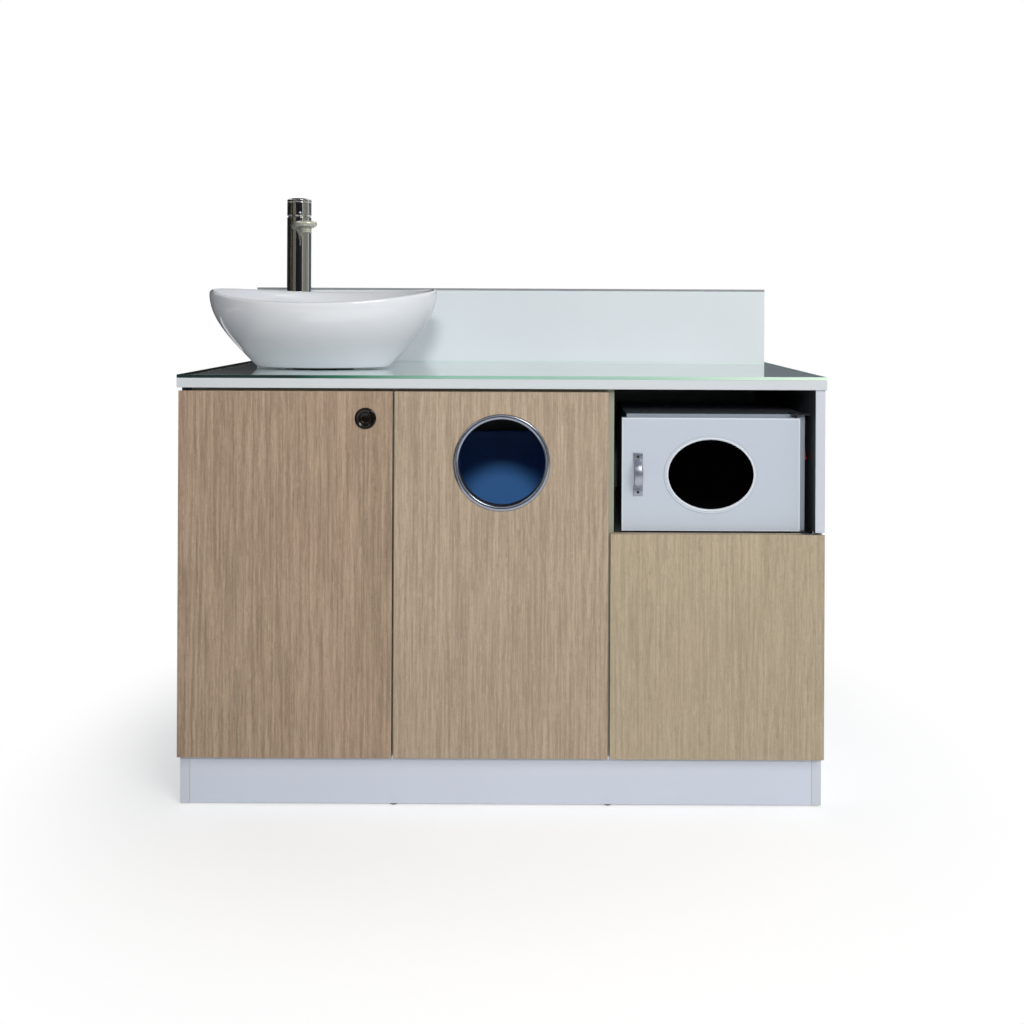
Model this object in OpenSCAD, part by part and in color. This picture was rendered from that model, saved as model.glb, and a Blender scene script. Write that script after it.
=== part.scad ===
// Self-contained hand-wash station: a laminated cabinet with a vessel basin, a pull-out waste
// bin and a cabinet steriliser. Millimetres, +Z up. The origin is on the floor, under the middle
// of the worktop. -Y is the front.

/* [Worktop] */
// Width of the worktop board
worktop_w = 1200; // [1140:10:1320]
// Depth of the worktop board, front to back
worktop_d = 520; // [510:5:600]
// Thickness of the worktop board
board_t = 18; // [16:1:25]
// Thickness of the glass sheet on the board
glass_t = 6; // [4:1:10]
// Height of the upstand above the glass
upstand_h = 171; // [80:1:260]
// Thickness of the upstand
upstand_t = 18; // [12:1:22]
// Height of the metal strip on the upstand
trim_h = 5; // [3:1:8]

/* [Carcass] */
// Thickness of the sides, partitions, base and shelf
panel_t = 18; // [16:1:20]
// Thickness of the back panel
back_t = 8; // [6:1:12]
// Overhang of the worktop past each side
side_reveal = 2; // [0:0.5:6]
// Depth of the front rails and height of the rear rails
rail_w = 80; // [60:5:100]
// Height of the glides under the cabinet
glide_h = 3; // [2:0.5:5]
// Diameter of the glides
glide_d = 16; // [10:1:16]

/* [Fronts] */
// Thickness of the fronts
front_t = 16; // [16:1:18]
// Height of the tall fronts
front_h = 678; // [650:2:720]
// Height of the lower right front
low_front_h = 416; // [400:2:424]
// Height of the fronts' lower edge above the floor
plinth_h = 95; // [80:1:130]
// Gap between neighbouring fronts
front_gap = 4; // [3:0.5:6]
// Gap between the fronts and the worktop board
top_reveal = 6; // [4:1:10]
// Distance of the fronts' faces behind the worktop's edge
front_setback = 4; // [3.5:0.5:8]
// Air between the fronts and the carcass
front_air = 1.5; // [1.5:0.1:3]

/* [Pivots] */
// Diameter of the pivot pins
pin_d = 5; // [4:0.5:6]
// Distance of the pins from the doors' side edges
pin_inset = 8; // [7.5:0.5:8.5]
// Thickness of the pivot plates
plate_t = 2; // [1.5:0.5:2.5]
// Length of the pins below the plates
pin_len = 14; // [8:1:20]

/* [Push knob] */
// Diameter of the rosette
rosette_d = 40; // [36:1:50]
// Height of the rosette above the door
rosette_h = 3; // [2:0.5:3.5]
// Diameter of the button
button_d = 24; // [18:1:26]
// Distance of the knob's centre from the door's free edge and top edge
knob_inset = 50; // [40:1:80]
// Travel of the button
button_travel = 10; // [6:1:12]

/* [Waste pull-out] */
// Clear diameter of the waste ring
ring_bore = 160; // [120:2:180]
// Width of the ring's face
ring_face = 10; // [6:1:14]
// Distance of the ring's centre below the front's top edge
ring_drop = 131; // [120:1:150]
// Air between the tray's walls and the bin's rim
bin_air = 15.5; // [8:0.5:24]
// Air between the tray's walls and the bin's rim in front and behind
bin_end_air = 34.5; // [16:0.5:50]
// Distance of the bin's front rim below the ring's opening
bin_drop = 16.7; // [6:0.1:60]
// Rise of the bin's rim from front to back
bin_rise = 104; // [60:2:120]
// Wall of the bin
bin_wall = 3; // [2:0.5:4]
// Distance of the runners' back ends from the back panel
runner_gap = 46.5; // [40:0.5:80]
// Height of the outer runner section
runner_h = 45; // [40:1:50]

/* [Basin] */
// Width of the basin across its tips
basin_w = 471; // [400:1:500]
// Depth of the basin at its rim
basin_d = 310; // [260:1:330]
// Width of the basin's foot
foot_w = 276; // [200:1:300]
// Depth of the basin's foot
foot_d = 140; // [110:1:180]
// Height of the front rim
rim_front = 133; // [110:1:150]
// Rise of the back rim over the front rim
rim_rise = 24; // [0:1:40]
// Extra rise of the two tips
tip_rise = 15; // [0:1:30]
// Wall of the basin
basin_wall = 11; // [8:0.5:14]
// Distance of the basin's centre from the worktop's left edge
basin_side = 220; // [218:1:240]
// Gap between the basin's back and the tap's column
basin_gap = 22; // [15:1:30]
// Diameter of the drain hole
drain_d = 45; // [40:1:52]

/* [Tap] */
// Diameter of the tap's column
tap_d = 54; // [40:1:60]
// Height of the tap above the glass
tap_h = 372; // [300:1:420]
// Height of the turning cap
cap_h = 41; // [30:1:60]
// Distance of the tap's centre from the worktop's left edge
tap_side = 117; // [100:1:130]
// Distance of the tap's centre in front of the worktop's back edge
tap_back = 90; // [80:1:100]
// Reach of the spout from the tap's centre
spout_len = 130; // [100:1:160]
// Width of the spout
spout_w = 46; // [30:1:50]
// Thickness of the spout
spout_t = 17; // [12:1:24]
// Distance of the spout below the top of the column
spout_drop = 15.5; // [10:0.5:80]
// Turn of the spout from straight ahead, in degrees
spout_turn = 22; // [0:1:40]

/* [Containers] */
// Gap between the two water containers
can_gap = 23; // [12:1:40]
// Depth of each water container
can_d = 290; // [240:1:300]
// Height of each water container without its handle
can_h = 300; // [240:2:320]
// Wall of the containers
can_wall = 3; // [2:0.5:5]
// Outer diameter of the waste pipe
waste_pipe_d = 32; // [25:1:40]
// Outer diameter of the supply pipe
supply_pipe_d = 12; // [8:1:16]

/* [Steriliser] */
// Air left of the steriliser's casing
uv_air_left = 25; // [24:1:40]
// Air right of the steriliser's casing
uv_air_right = 10; // [8:1:16]
// Depth of the steriliser's casing
uv_d = 230; // [180:1:300]
// Air over the steriliser's casing
uv_air_top = 49; // [20:1:70]
// Sheet thickness of the casing and its door
sheet_t = 1.5; // [1:0.1:2]
// How much narrower the steriliser's door is than its casing
uv_door_less = 3; // [1:0.5:8]
// Distance of the door's edges inside the casing's top and bottom
uv_door_in = 4; // [3:0.5:8]
// Thickness of the steriliser's door
uv_door_t = 12; // [10:0.5:13]
// Width of the oval window
window_w = 160; // [120:1:180]
// Height of the oval window
window_h = 130; // [90:1:140]
// Height of the rubber feet
foot_h = 6; // [4:0.5:8]

/* [Hidden] */
$fn = 64;

// Running clearance of a pin or slide on its radius, and the gap of a seated piece
run = 0.05;
seat = 0.3;

// Levels
z_front = plinth_h;
z_front_top = z_front + front_h;
z_low_top = z_front + low_front_h;
z_board = z_front_top + top_reveal;
z_glass = z_board + board_t;
z_top = z_glass + glass_t;
base_drop = 2;
z_base = z_front - base_drop;
z_floor_in = z_base + panel_t;
shelf_drop = 6;
z_shelf_top = z_low_top - shelf_drop;
z_shelf = z_shelf_top - panel_t;

// Depths
y_edge = -worktop_d / 2;
y_face = y_edge + front_setback;
y_front_back = y_face + front_t;
y_carcass = y_front_back + front_air;
y_rear = worktop_d / 2 - 2;
y_back = y_rear - back_t;
y_upstand = worktop_d / 2 - upstand_t;
y_pin = y_face + front_t / 2;

// Widths
carcass_w = worktop_w - 2 * side_reveal;
x_side = carcass_w / 2;
x_inner = x_side - panel_t;
front_w = (carcass_w - 2 * front_gap) / 3;
x_gap = front_w / 2 + front_gap / 2;
x_part = x_gap - panel_t / 2;
x_part_out = x_gap + panel_t / 2;
x_pin = x_side - pin_inset;
bay_w = x_inner - x_part_out;

// Basin, drain and tap
basin_x = -worktop_w / 2 + basin_side;
gasket_t = 2;
z_basin = z_top + gasket_t;
basin_floor = 14;
flange_lip = 3;
waste_d = drain_d - 3;
board_hole_d = drain_d + 8;
nut_d = board_hole_d + 14;
tap_x = -worktop_w / 2 + tap_side;
tap_y = worktop_d / 2 - tap_back;
basin_y = tap_y - tap_d / 2 - basin_gap - basin_d / 2;
shank_d = 32;
cap_gap = 1.5;
z_tap_body = tap_h - cap_h - cap_gap;
spout_z = z_tap_body - spout_drop - spout_t;
valve_d = tap_d - 14;
stem_d = 20;
stem_share = 0.6;
z_shank = z_board - 40;

// Containers
can_r = 22;
neck_d = 62;
can_clear = 4;
can_foot = 0.3;
z_can = z_floor_in + can_foot;
z_neck = z_can + can_h;
cap_wall = 4;
can_cap_h = 24;
neck_h = can_cap_h - cap_wall;
grip_h = 26;
can_w = (bay_w - 2 * can_clear - can_gap) / 2;
drain_run = 82;
grip_end = 12.5;
waste_grip_air = 26.5;
fresh_grip_air = 70.5;
neck_back = 25;
can_front_air = 14.5;
fresh_x = -x_inner + can_clear + can_w / 2;
fresh_y = tap_y + neck_d / 2 + neck_back - can_d / 2;
waste_x = -x_part_out - can_clear - can_w / 2;
waste_y = y_carcass + can_front_air + can_d / 2;
waste_neck_x = basin_x + drain_run;
pump_d = 40;
pump_h = 110;
z_pump = z_can + can_wall + seat;

// Trap under the basin
trap_d = 64;
trap_drop = 100;
trap_depth = 70;
z_trap_out = z_board - trap_drop;
z_trap_low = z_trap_out - trap_depth;
cup_h = 34;

// Runners: each section is rolled from this sheet and slides with this gap
roll_t = 1.2;
roll_gap = 0.6;
runner_t = 13;
z_runner = z_floor_in + 30;
x_drawer = x_part - runner_t;
tray_t = 1.5;
z_tray = z_floor_in + 17;
tray_wall = 72;
tray_front_h = 150;
y_runner = y_carcass + 2;
runner_len = y_back - runner_gap - y_runner;
tray_d = y_back - runner_gap - y_front_back;

// Waste ring and bin
ring_sleeve = 2;
z_ring = z_front_top - ring_drop;
bin_w = 2 * (x_drawer - tray_t - bin_air);
bin_d = tray_d - 2 * (tray_t + bin_end_air);
y_bin = y_front_back + tray_t + 8 + bin_d / 2;
z_bin = z_tray + tray_t + seat;
bin_front_h = z_ring - ring_bore / 2 - bin_drop - z_bin;
bin_back_h = bin_front_h + bin_rise;
bin_taper = 26;

// Push knob
knob_x = -x_side + front_w - knob_inset;
knob_z = z_front_top - knob_inset;
housing_d = button_d + 6;
housing_len = front_t + button_travel + 16;
button_sink = 2;

// Magnetic catches
catch_w = 44;
catch_h = 14;
catch_in = 6;
catch_x = x_part_out + catch_in + catch_w / 2;
catch_left_z = z_board - panel_t;

// Pivot plates and their notches
notch_depth = plate_t + 1.5;
notch_skin = 3.5;
notch_len = 32;
plate_reach = 30;

// Steriliser
uv_gap = 4;
uv_w = bay_w - uv_air_left - uv_air_right;
uv_x = x_part_out + uv_air_left;
y_uv_door = y_carcass + 3.5;
y_uv = y_uv_door + uv_door_t + uv_gap;
z_uv = z_shelf_top + foot_h;
uv_h = z_board - uv_air_top - z_uv;
uv_door_w = uv_w - uv_door_less;
uv_door_h = uv_h - 2 * uv_door_in;
uv_door_shift = 10;
uv_door_x = uv_x - uv_door_shift;
z_uv_door = z_uv + uv_door_in - 2;
uv_pin_d = 5;
uv_pin_inset = 7;
uv_pin_x = uv_door_x + uv_door_w - uv_pin_inset;
uv_pin_y = y_uv_door + uv_door_t / 2;
window_x = uv_door_x + uv_door_w / 2;
window_z = z_uv_door + uv_door_h / 2;
rim_face = 8;
handle_in = 30;
handle_x = uv_door_x + handle_in;
handle_len = 80;
handle_w = 18;
handle_rise = 20;
uv_flange = 12;
uv_ledge = 10;
socket_in = 12;
socket_side = 24;
socket_h = 30;
hinge_t = 2.5;
hinge_w = 34;
hinge_side = 8;
hinge_front = 5;
hinge_back = 12;
hinge_pin_in = 12;
rocker_w = 11;
rocker_h = 18;
bezel_edge = 2;
rocker_y = y_uv + 13;
rocker_z = z_uv + uv_h * 0.64;
rocker_tilt = 9;
axle_d = 2;
lamp_d = 16;
lamp_y = y_uv + uv_d * 0.55;
lamp_z = z_uv + uv_h - 22;
rack_z = z_uv + 70;
gland_d = 10;
gland_x = uv_x + 40;
gland_z = z_uv + 30;

// ---- Shared forms ----

// A board or bar between two corners
module block(low, high) {
  translate(low) cube(high - low);
}

// A flat outline w by d with round corners
module round_rect(w, d, r) {
  square([w - 2 * r, d], center = true);
  square([w, d - 2 * r], center = true);
  for (sx = [-1, 1], sy = [-1, 1])
    translate([sx * (w / 2 - r), sy * (d / 2 - r)]) circle(r);
}

// The points of an ellipse
function oval(w, h, n = 72) = [for (i = [0 : n - 1]) [w / 2 * cos(360 * i / n), h / 2 * sin(360 * i / n)]];

// A cylinder along +Y
module rod_y(d, len) {
  rotate([-90, 0, 0]) cylinder(d = d, h = len);
}

// A bent sheet channel along Y: w wide towards +X, h high, open to +X or, with flip, to -X
module channel(w, h, t, len, flip = false) {
  difference() {
    cube([w, len, h]);
    translate([flip ? -1 : t, -1, t]) cube([w - t + 1, len + 2, h - 2 * t]);
  }
}

// Copies for the left and the right
module both_sides() {
  children();
  mirror([1, 0, 0]) children();
}

// ---- Carcass ----

module side_panel() {
  block([-x_side, y_carcass, glide_h], [-x_inner, y_rear, z_board]);
}

module side_left() {
  color("whitesmoke") side_panel();
}

// The right side steps forward beside the niche, level with the fronts
module side_right() {
  color("whitesmoke") union() {
    mirror([1, 0, 0]) side_panel();
    block([x_inner, y_face, z_low_top + front_gap], [x_side, y_carcass + 1, z_board]);
  }
}

module partition() {
  block([-x_part_out, y_carcass, z_floor_in], [-x_part, y_back, z_board]);
}

module partition_left() {
  color("whitesmoke") partition();
}

module partition_right() {
  color("whitesmoke") mirror([1, 0, 0]) partition();
}

module base_panel() {
  color("whitesmoke") block([-x_inner, y_carcass, z_base], [x_inner, y_back, z_floor_in]);
}

module back_panel() {
  color("white") block([-x_inner, y_back, glide_h], [x_inner, y_rear, z_board]);
}

module plinth_board() {
  color("gainsboro") block([-x_inner, y_carcass, glide_h], [x_inner, y_carcass + panel_t, z_base]);
}

// Flat rails behind the tall fronts, and upright rails in front of the back panel
module top_rails() {
  color("whitesmoke") for (bay = [[-x_inner, -x_part_out], [-x_part, x_part]]) {
    block([bay[0], y_carcass, z_board - panel_t], [bay[1], y_carcass + rail_w, z_board]);
    block([bay[0], y_back - panel_t, z_board - rail_w], [bay[1], y_back, z_board]);
  }
}

module niche_shelf() {
  color("whitesmoke") block([x_part_out, y_carcass, z_shelf], [x_inner, y_back, z_shelf_top]);
}

// Nail-on glides under the ends of the sides and under the plinth board
module floor_glides() {
  glide_in = 40;
  mid = panel_t / 2;
  places = [
    [-x_side + mid, y_carcass + glide_in], [x_side - mid, y_carcass + glide_in],
    [-x_side + mid, y_rear - glide_in], [x_side - mid, y_rear - glide_in],
    [-x_gap, y_carcass + mid], [x_gap, y_carcass + mid]
  ];
  color("dimgray") for (p = places) translate(p) cylinder(d = glide_d, h = glide_h);
}

// ---- Worktop ----

// Drain and tap holes through the board and the glass
module worktop_holes() {
  translate([basin_x, basin_y, z_board - 1]) cylinder(d = board_hole_d, h = board_t + glass_t + 2);
  translate([tap_x, tap_y, z_board - 1]) cylinder(d = shank_d + 2, h = board_t + glass_t + 2);
}

module worktop_board() {
  color("white") difference() {
    block([-worktop_w / 2, y_edge, z_board], [worktop_w / 2, worktop_d / 2, z_glass]);
    worktop_holes();
  }
}

module glass_top() {
  color([0.6, 0.85, 0.75, 0.5]) difference() {
    block([-worktop_w / 2, y_edge, z_glass], [worktop_w / 2, y_upstand - seat, z_top]);
    worktop_holes();
  }
}

module upstand() {
  color("white") block([-worktop_w / 2, y_upstand, z_glass],
    [worktop_w / 2, worktop_d / 2, z_top + upstand_h - trim_h]);
}

module upstand_trim() {
  color("slategray") block([-worktop_w / 2, y_upstand, z_top + upstand_h - trim_h],
    [worktop_w / 2, worktop_d / 2, z_top + upstand_h]);
}

// ---- Basin ----

// Height of the rim around the basin: low in front, higher at the back and at the tips
function rim_h(th) = rim_front + tip_rise * pow(cos(th), 2) + rim_rise * (1 + sin(th)) / 2;

// How far the wall has flared out at height share t: part bulge and part straight slope
bulge = 0.55;
function flare(t, k) = bulge * pow(sin(90 * t), k) + (1 - bulge) * pow(t, 0.7 * k);

// One ring of the bowl: half width a, half depth b, height as a share of the rim plus dz
bowl_n = 72;
tip_sharp = 1.2;
function bowl_ring(a, b, share, dz) = [
  for (i = [0 : bowl_n - 1])
    let (th = 360 * i / bowl_n, s = sin(th), bend = 1 + (tip_sharp - 1) * share)
    [a * cos(th), b * sign(s) * pow(abs(s), bend), share * rim_h(th) + dz]
];

// Rings up the outside, over the round lip, and down the inside
outer_steps = 9;
lip_steps = 4;
inner_steps = 9;
lip_r = basin_wall / 2;
inner_foot = 0.55;
outer_rings = [
  for (i = [0 : outer_steps])
    let (t = i / outer_steps, f = flare(t, 1.6))
    bowl_ring((foot_w + (basin_w - foot_w) * f) / 2, (foot_d + (basin_d - foot_d) * f) / 2,
      t, -lip_r * t)
];
lip_rings = [
  for (i = [1 : lip_steps - 1])
    let (a = 180 * i / lip_steps, in = lip_r * (1 - cos(a)))
    bowl_ring(basin_w / 2 - in, basin_d / 2 - in, 1, lip_r * sin(a) - lip_r)
];
inner_rings = [
  for (i = [0 : inner_steps])
    let (t = 1 - i / inner_steps, f = flare(t, 1.2), share = inner_foot)
    bowl_ring(share * foot_w / 2 + (basin_w / 2 - basin_wall - share * foot_w / 2) * f,
      share * foot_d / 2 + (basin_d / 2 - basin_wall - share * foot_d / 2) * f,
      t, basin_floor * (1 - t) - lip_r * t)
];
bowl_rings = concat(outer_rings, lip_rings, inner_rings);
bowl_count = len(bowl_rings);

module basin() {
  points = [for (ring = bowl_rings) each ring];
  walls = [
    for (k = [0 : bowl_count - 2], i = [0 : bowl_n - 1])
      let (j = (i + 1) % bowl_n, p = k * bowl_n)
      each [[p + i, p + bowl_n + i, p + bowl_n + j], [p + i, p + bowl_n + j, p + j]]
  ];
  under = [[for (i = [0 : bowl_n - 1]) i]];
  inside = [[for (i = [0 : bowl_n - 1]) bowl_count * bowl_n - 1 - i]];
  color("white") translate([basin_x, basin_y, z_basin]) difference() {
    polyhedron(points = points, faces = concat(under, inside, walls), convexity = 6);
    translate([0, 0, -1]) cylinder(d = drain_d, h = basin_floor + 2);
  }
}

// Sealing ring under the basin's foot
module basin_gasket() {
  color("dimgray") translate([basin_x, basin_y, z_top]) difference() {
    cylinder(d = foot_d - 16, h = gasket_t);
    translate([0, 0, -1]) cylinder(d = board_hole_d, h = gasket_t + 2);
  }
}

// Drain fitting: a domed grid on a threaded tail that goes down through basin, glass and board
tail_len = z_basin + basin_floor - z_board + 45;
module waste_flange() {
  slots = 6;
  slot_d = 7;
  slot_r = 12;
  tail_wall = 3;
  lip_r = drain_d / 2 + 8;
  color("silver") translate([basin_x, basin_y, z_basin + basin_floor]) difference() {
    union() {
      rotate_extrude() polygon([[0, 0], [lip_r, 0], [lip_r, 1], [lip_r - 4, flange_lip], [0, flange_lip]]);
      translate([0, 0, -tail_len]) cylinder(d = waste_d, h = tail_len);
    }
    translate([0, 0, -tail_len - 1]) cylinder(d = waste_d - 2 * tail_wall, h = tail_len);
    for (i = [0 : slots - 1]) rotate(i * 360 / slots)
      translate([slot_r, 0, -2]) cylinder(d = slot_d, h = flange_lip + 3);
    translate([0, 0, -2]) cylinder(d = slot_d, h = flange_lip + 3);
  }
}

// Back nut that clamps the drain fitting under the board
module waste_nut() {
  nut_h = 12;
  washer_t = 3;
  color("gray") translate([basin_x, basin_y, z_board - nut_h]) difference() {
    union() {
      cylinder(d = nut_d, h = nut_h, $fn = 6);
      translate([0, 0, nut_h - washer_t]) cylinder(d = nut_d + 6, h = washer_t);
    }
    translate([0, 0, -1]) cylinder(d = waste_d + 2 * run, h = nut_h + 2);
  }
}

// Bottle trap: tail socket, body and side outlet, with a screwed cup below
module bottle_trap() {
  wall = 3;
  roof = 20;
  cap = roof + 4;
  hold = 15;
  z_tail_end = z_basin + basin_floor - tail_len;
  z_socket = z_tail_end - 1;
  module upright(z, d, top) {
    translate([basin_x, basin_y, z]) cylinder(d = d, h = top - z);
  }
  module outlet(d, len) {
    translate([basin_x, basin_y, z_trap_out]) rotate([0, 90, 0]) cylinder(d = d, h = len);
  }
  color("white") difference() {
    union() {
      upright(z_trap_low, trap_d, z_trap_out + cap);
      upright(z_trap_out + cap, waste_d + 12, z_tail_end + hold - 2);
      outlet(waste_pipe_d + 10, trap_d / 2 + 18);
    }
    upright(z_trap_low - 1, trap_d - 2 * wall, z_trap_out + roof);
    upright(z_trap_out, waste_d + 2 * run, z_socket + hold + 5);
    outlet(waste_pipe_d + 2 * run, trap_d);
  }
}

module trap_cup() {
  ribs = 12;
  rib = [3, 4, cup_h - 8];
  wall = 4;
  color("white") translate([basin_x, basin_y, z_trap_low - cup_h]) difference() {
    union() {
      cylinder(d = trap_d, h = cup_h);
      for (i = [0 : ribs - 1]) rotate(i * 360 / ribs)
        translate([trap_d / 2 - 1, -rib[1] / 2, 4]) cube(rib);
    }
    translate([0, 0, wall - 1]) cylinder(d = trap_d - 2 * wall, h = cup_h);
  }
}

// Rigid pipe from the trap across and down into the waste container
module waste_pipe() {
  bend = 30;
  wall = 2;
  dip = 12;
  x_start = basin_x + trap_d / 2 + 2;
  x_end = waste_neck_x - bend;
  z_end = z_neck - dip;
  z_bend = z_trap_out - bend;
  module run_pipe(d, over) {
    translate([x_start - over, basin_y, z_trap_out]) rotate([0, 90, 0])
      cylinder(d = d, h = x_end - x_start + over);
    translate([x_end, basin_y, z_bend]) rotate([90, 0, 0])
      rotate_extrude(angle = 90) translate([bend, 0]) circle(d = d);
    translate([waste_neck_x, basin_y, z_end - over]) cylinder(d = d, h = z_bend - z_end + over);
  }
  color("white") difference() {
    run_pipe(waste_pipe_d, 0);
    run_pipe(waste_pipe_d - 2 * wall, 1);
  }
}

// ---- Water containers ----

// A blow-moulded can with a grip over its top and a neck at (nx, ny) from its middle
module container(nx, ny, grip_air) {
  grip_w = 24;
  grip_front = -can_d / 2 + grip_end;
  grip_back = ny - neck_d / 2 - grip_air;
  grip_len = grip_back - grip_front;
  post = 16;
  shoulder = 10;
  neck_out = neck_d - 2 * cap_wall;
  module body(in) {
    w = can_w - 2 * in;
    d = can_d - 2 * in;
    translate([0, 0, in]) linear_extrude(can_h - shoulder - 2 * in) round_rect(w, d, can_r - in);
    translate([0, 0, can_h - shoulder - in]) linear_extrude(shoulder)
      round_rect(w - shoulder, d - shoulder, can_r - in);
  }
  difference() {
    union() {
      body(0);
      translate([nx, ny, can_h - 1]) cylinder(d = neck_out, h = neck_h + 1);
      for (y = [grip_front, grip_back - post])
        translate([-grip_w / 2, y, can_h - 1]) cube([grip_w, post, grip_h + 1]);
      translate([0, grip_front, can_h + grip_h]) intersection() {
        rod_y(grip_w, grip_len);
        translate([-grip_w, 0, 0]) cube([2 * grip_w, grip_len, grip_w]);
      }
    }
    body(can_wall);
    translate([nx, ny, can_h - shoulder]) cylinder(d = neck_out - 2 * can_wall, h = neck_h + shoulder + 1);
  }
}

module waste_container() {
  color("lightgray") translate([waste_x, waste_y, z_can])
    container(waste_neck_x - waste_x, basin_y - waste_y, waste_grip_air);
}

module fresh_container() {
  color("aliceblue") translate([fresh_x, fresh_y, z_can])
    container(tap_x - fresh_x, tap_y - fresh_y, fresh_grip_air);
}

// A ribbed screw cap with a hole for its pipe
module can_cap(hole) {
  ribs = 24;
  rib = [1.5, 2, can_cap_h - 4];
  difference() {
    union() {
      cylinder(d = neck_d, h = can_cap_h);
      for (i = [0 : ribs - 1]) rotate(i * 360 / ribs)
        translate([neck_d / 2 - 0.5, -rib[1] / 2, 0]) cube(rib);
    }
    translate([0, 0, -1]) cylinder(d = neck_d - 2 * cap_wall + 2 * seat, h = neck_h + 1);
    translate([0, 0, -1]) cylinder(d = hole, h = can_cap_h + 2);
  }
}

module container_caps() {
  color("steelblue") {
    translate([waste_neck_x, basin_y, z_neck + seat]) can_cap(waste_pipe_d + 2 * run);
    translate([tap_x, tap_y, z_neck + seat]) can_cap(supply_pipe_d + 2 * run);
  }
}

// Submersible pump at the bottom of the fresh water, hung on the riser pipe
module supply_pump() {
  slots = 10;
  slot = [6, 2, 26];
  taper = 14;
  socket = 16;
  deep = 10;
  color("navy") translate([tap_x, tap_y, z_pump]) difference() {
    union() {
      cylinder(d = pump_d, h = pump_h);
      translate([0, 0, pump_h]) cylinder(d1 = pump_d, d2 = supply_pipe_d + 8, h = taper);
      translate([0, 0, pump_h + taper]) cylinder(d = supply_pipe_d + 8, h = socket);
    }
    for (i = [0 : slots - 1]) rotate(i * 360 / slots)
      translate([pump_d / 2 - slot[0] / 2, -slot[1] / 2, 8]) cube(slot);
    translate([0, 0, pump_h + deep]) cylinder(d = supply_pipe_d + 2 * run, h = taper + socket);
  }
}

module riser_pipe() {
  wall = 2;
  z_low = z_pump + pump_h + 10 + seat;
  z_high = z_shank + 14;
  color("lightblue") translate([tap_x, tap_y, z_low]) difference() {
    cylinder(d = supply_pipe_d, h = z_high - z_low);
    translate([0, 0, -1]) cylinder(d = supply_pipe_d - 2 * wall, h = z_high - z_low + 2);
  }
}

// ---- Tap ----

// Column with a foot ring, a threaded shank and bores for the valve and the supply pipe
module tap_body() {
  foot = 3;
  r = tap_d / 2;
  valve_depth = 32;
  socket = 14;
  waterway = supply_pipe_d - 3;
  color("silver") translate([tap_x, tap_y, z_top]) difference() {
    union() {
      rotate_extrude() polygon([[0, 0], [r + 3, 0], [r + 3, foot - 1], [r + 2, foot], [r, foot],
        [r, z_tap_body - 1], [r - 1, z_tap_body], [0, z_tap_body]]);
      translate([0, 0, z_shank - z_top]) cylinder(d = shank_d, h = z_top - z_shank + 1);
    }
    translate([0, 0, z_shank - z_top - 1]) cylinder(d = supply_pipe_d + 2 * run, h = socket + 1);
    translate([0, 0, z_shank - z_top]) cylinder(d = waterway, h = z_tap_body - 20 + z_top - z_shank);
    translate([0, 0, z_tap_body - valve_depth]) cylinder(d = valve_d + 2 * run, h = valve_depth + 1);
  }
}

// Places a piece of the spout at a height over or under the spout's underside
aerator_d = 19;
module at_spout(lift) {
  translate([tap_x, tap_y, z_top + spout_z + lift]) rotate(-90 + spout_turn) children();
}

// Flat tongue with a round end, set against the column and turned towards the basin
module tap_spout() {
  root_w = spout_w * 0.84;
  reach = spout_len - spout_w / 2;
  half = spout_w / 2;
  color("silver") at_spout(0) difference() {
    linear_extrude(spout_t) difference() {
      union() {
        translate([reach, 0]) circle(d = spout_w);
        polygon([[0, -root_w / 2], [reach, -half], [reach, half], [0, root_w / 2]]);
      }
      circle(d = tap_d + 2 * run);
    }
    translate([reach, 0, -1]) cylinder(d = aerator_d, h = spout_t - 5);
  }
}

module tap_aerator() {
  skirt = 9;
  stub = 7;
  jet = 3;
  color("gray") at_spout(-skirt) translate([spout_len - spout_w / 2, 0, 0]) difference() {
    union() {
      cylinder(d = aerator_d + 3, h = skirt);
      cylinder(d = aerator_d - 2 * run, h = skirt + stub);
    }
    translate([0, 0, -1]) cylinder(d = aerator_d - 4, h = 4);
    for (i = [0 : 5]) rotate(i * 60) translate([1.5 * jet, 0, -1]) cylinder(d = jet, h = 20);
    translate([0, 0, -1]) cylinder(d = jet, h = 20);
  }
}

module tap_cartridge() {
  body = 31;
  color("goldenrod") translate([tap_x, tap_y, z_top + z_tap_body - body - 0.5]) {
    cylinder(d = valve_d, h = body);
    cylinder(d = stem_d, h = body + 0.5 + cap_gap + cap_h * stem_share);
  }
}

// Turning cap over the valve's stem, with a flat chamfer round its top and an index dimple
module tap_cap() {
  r = tap_d / 2;
  dimple = 4;
  color("silver") translate([tap_x, tap_y, z_top + z_tap_body + cap_gap]) difference() {
    rotate_extrude() polygon([[0, 0], [r - 3, 0], [r - 1, 3], [r, 4], [r, cap_h - 3],
      [r - 3, cap_h], [0, cap_h]]);
    translate([0, 0, -1]) cylinder(d = stem_d + 2 * run, h = cap_h * stem_share + 1 + seat);
    rotate(-90 + spout_turn) translate([r - 1, 0, cap_h * 0.4]) rotate([0, 90, 0])
      cylinder(d = dimple, h = 3);
  }
}

module tap_nut() {
  nut_h = 14;
  washer_t = 3;
  color("gray") translate([tap_x, tap_y, z_board - nut_h]) difference() {
    union() {
      cylinder(d = shank_d + 14, h = nut_h, $fn = 6);
      translate([0, 0, nut_h - washer_t]) cylinder(d = shank_d + 22, h = washer_t);
    }
    translate([0, 0, -1]) cylinder(d = shank_d + 2 * run, h = nut_h + 2);
  }
}

// ---- Doors on pivot pins ----

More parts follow.
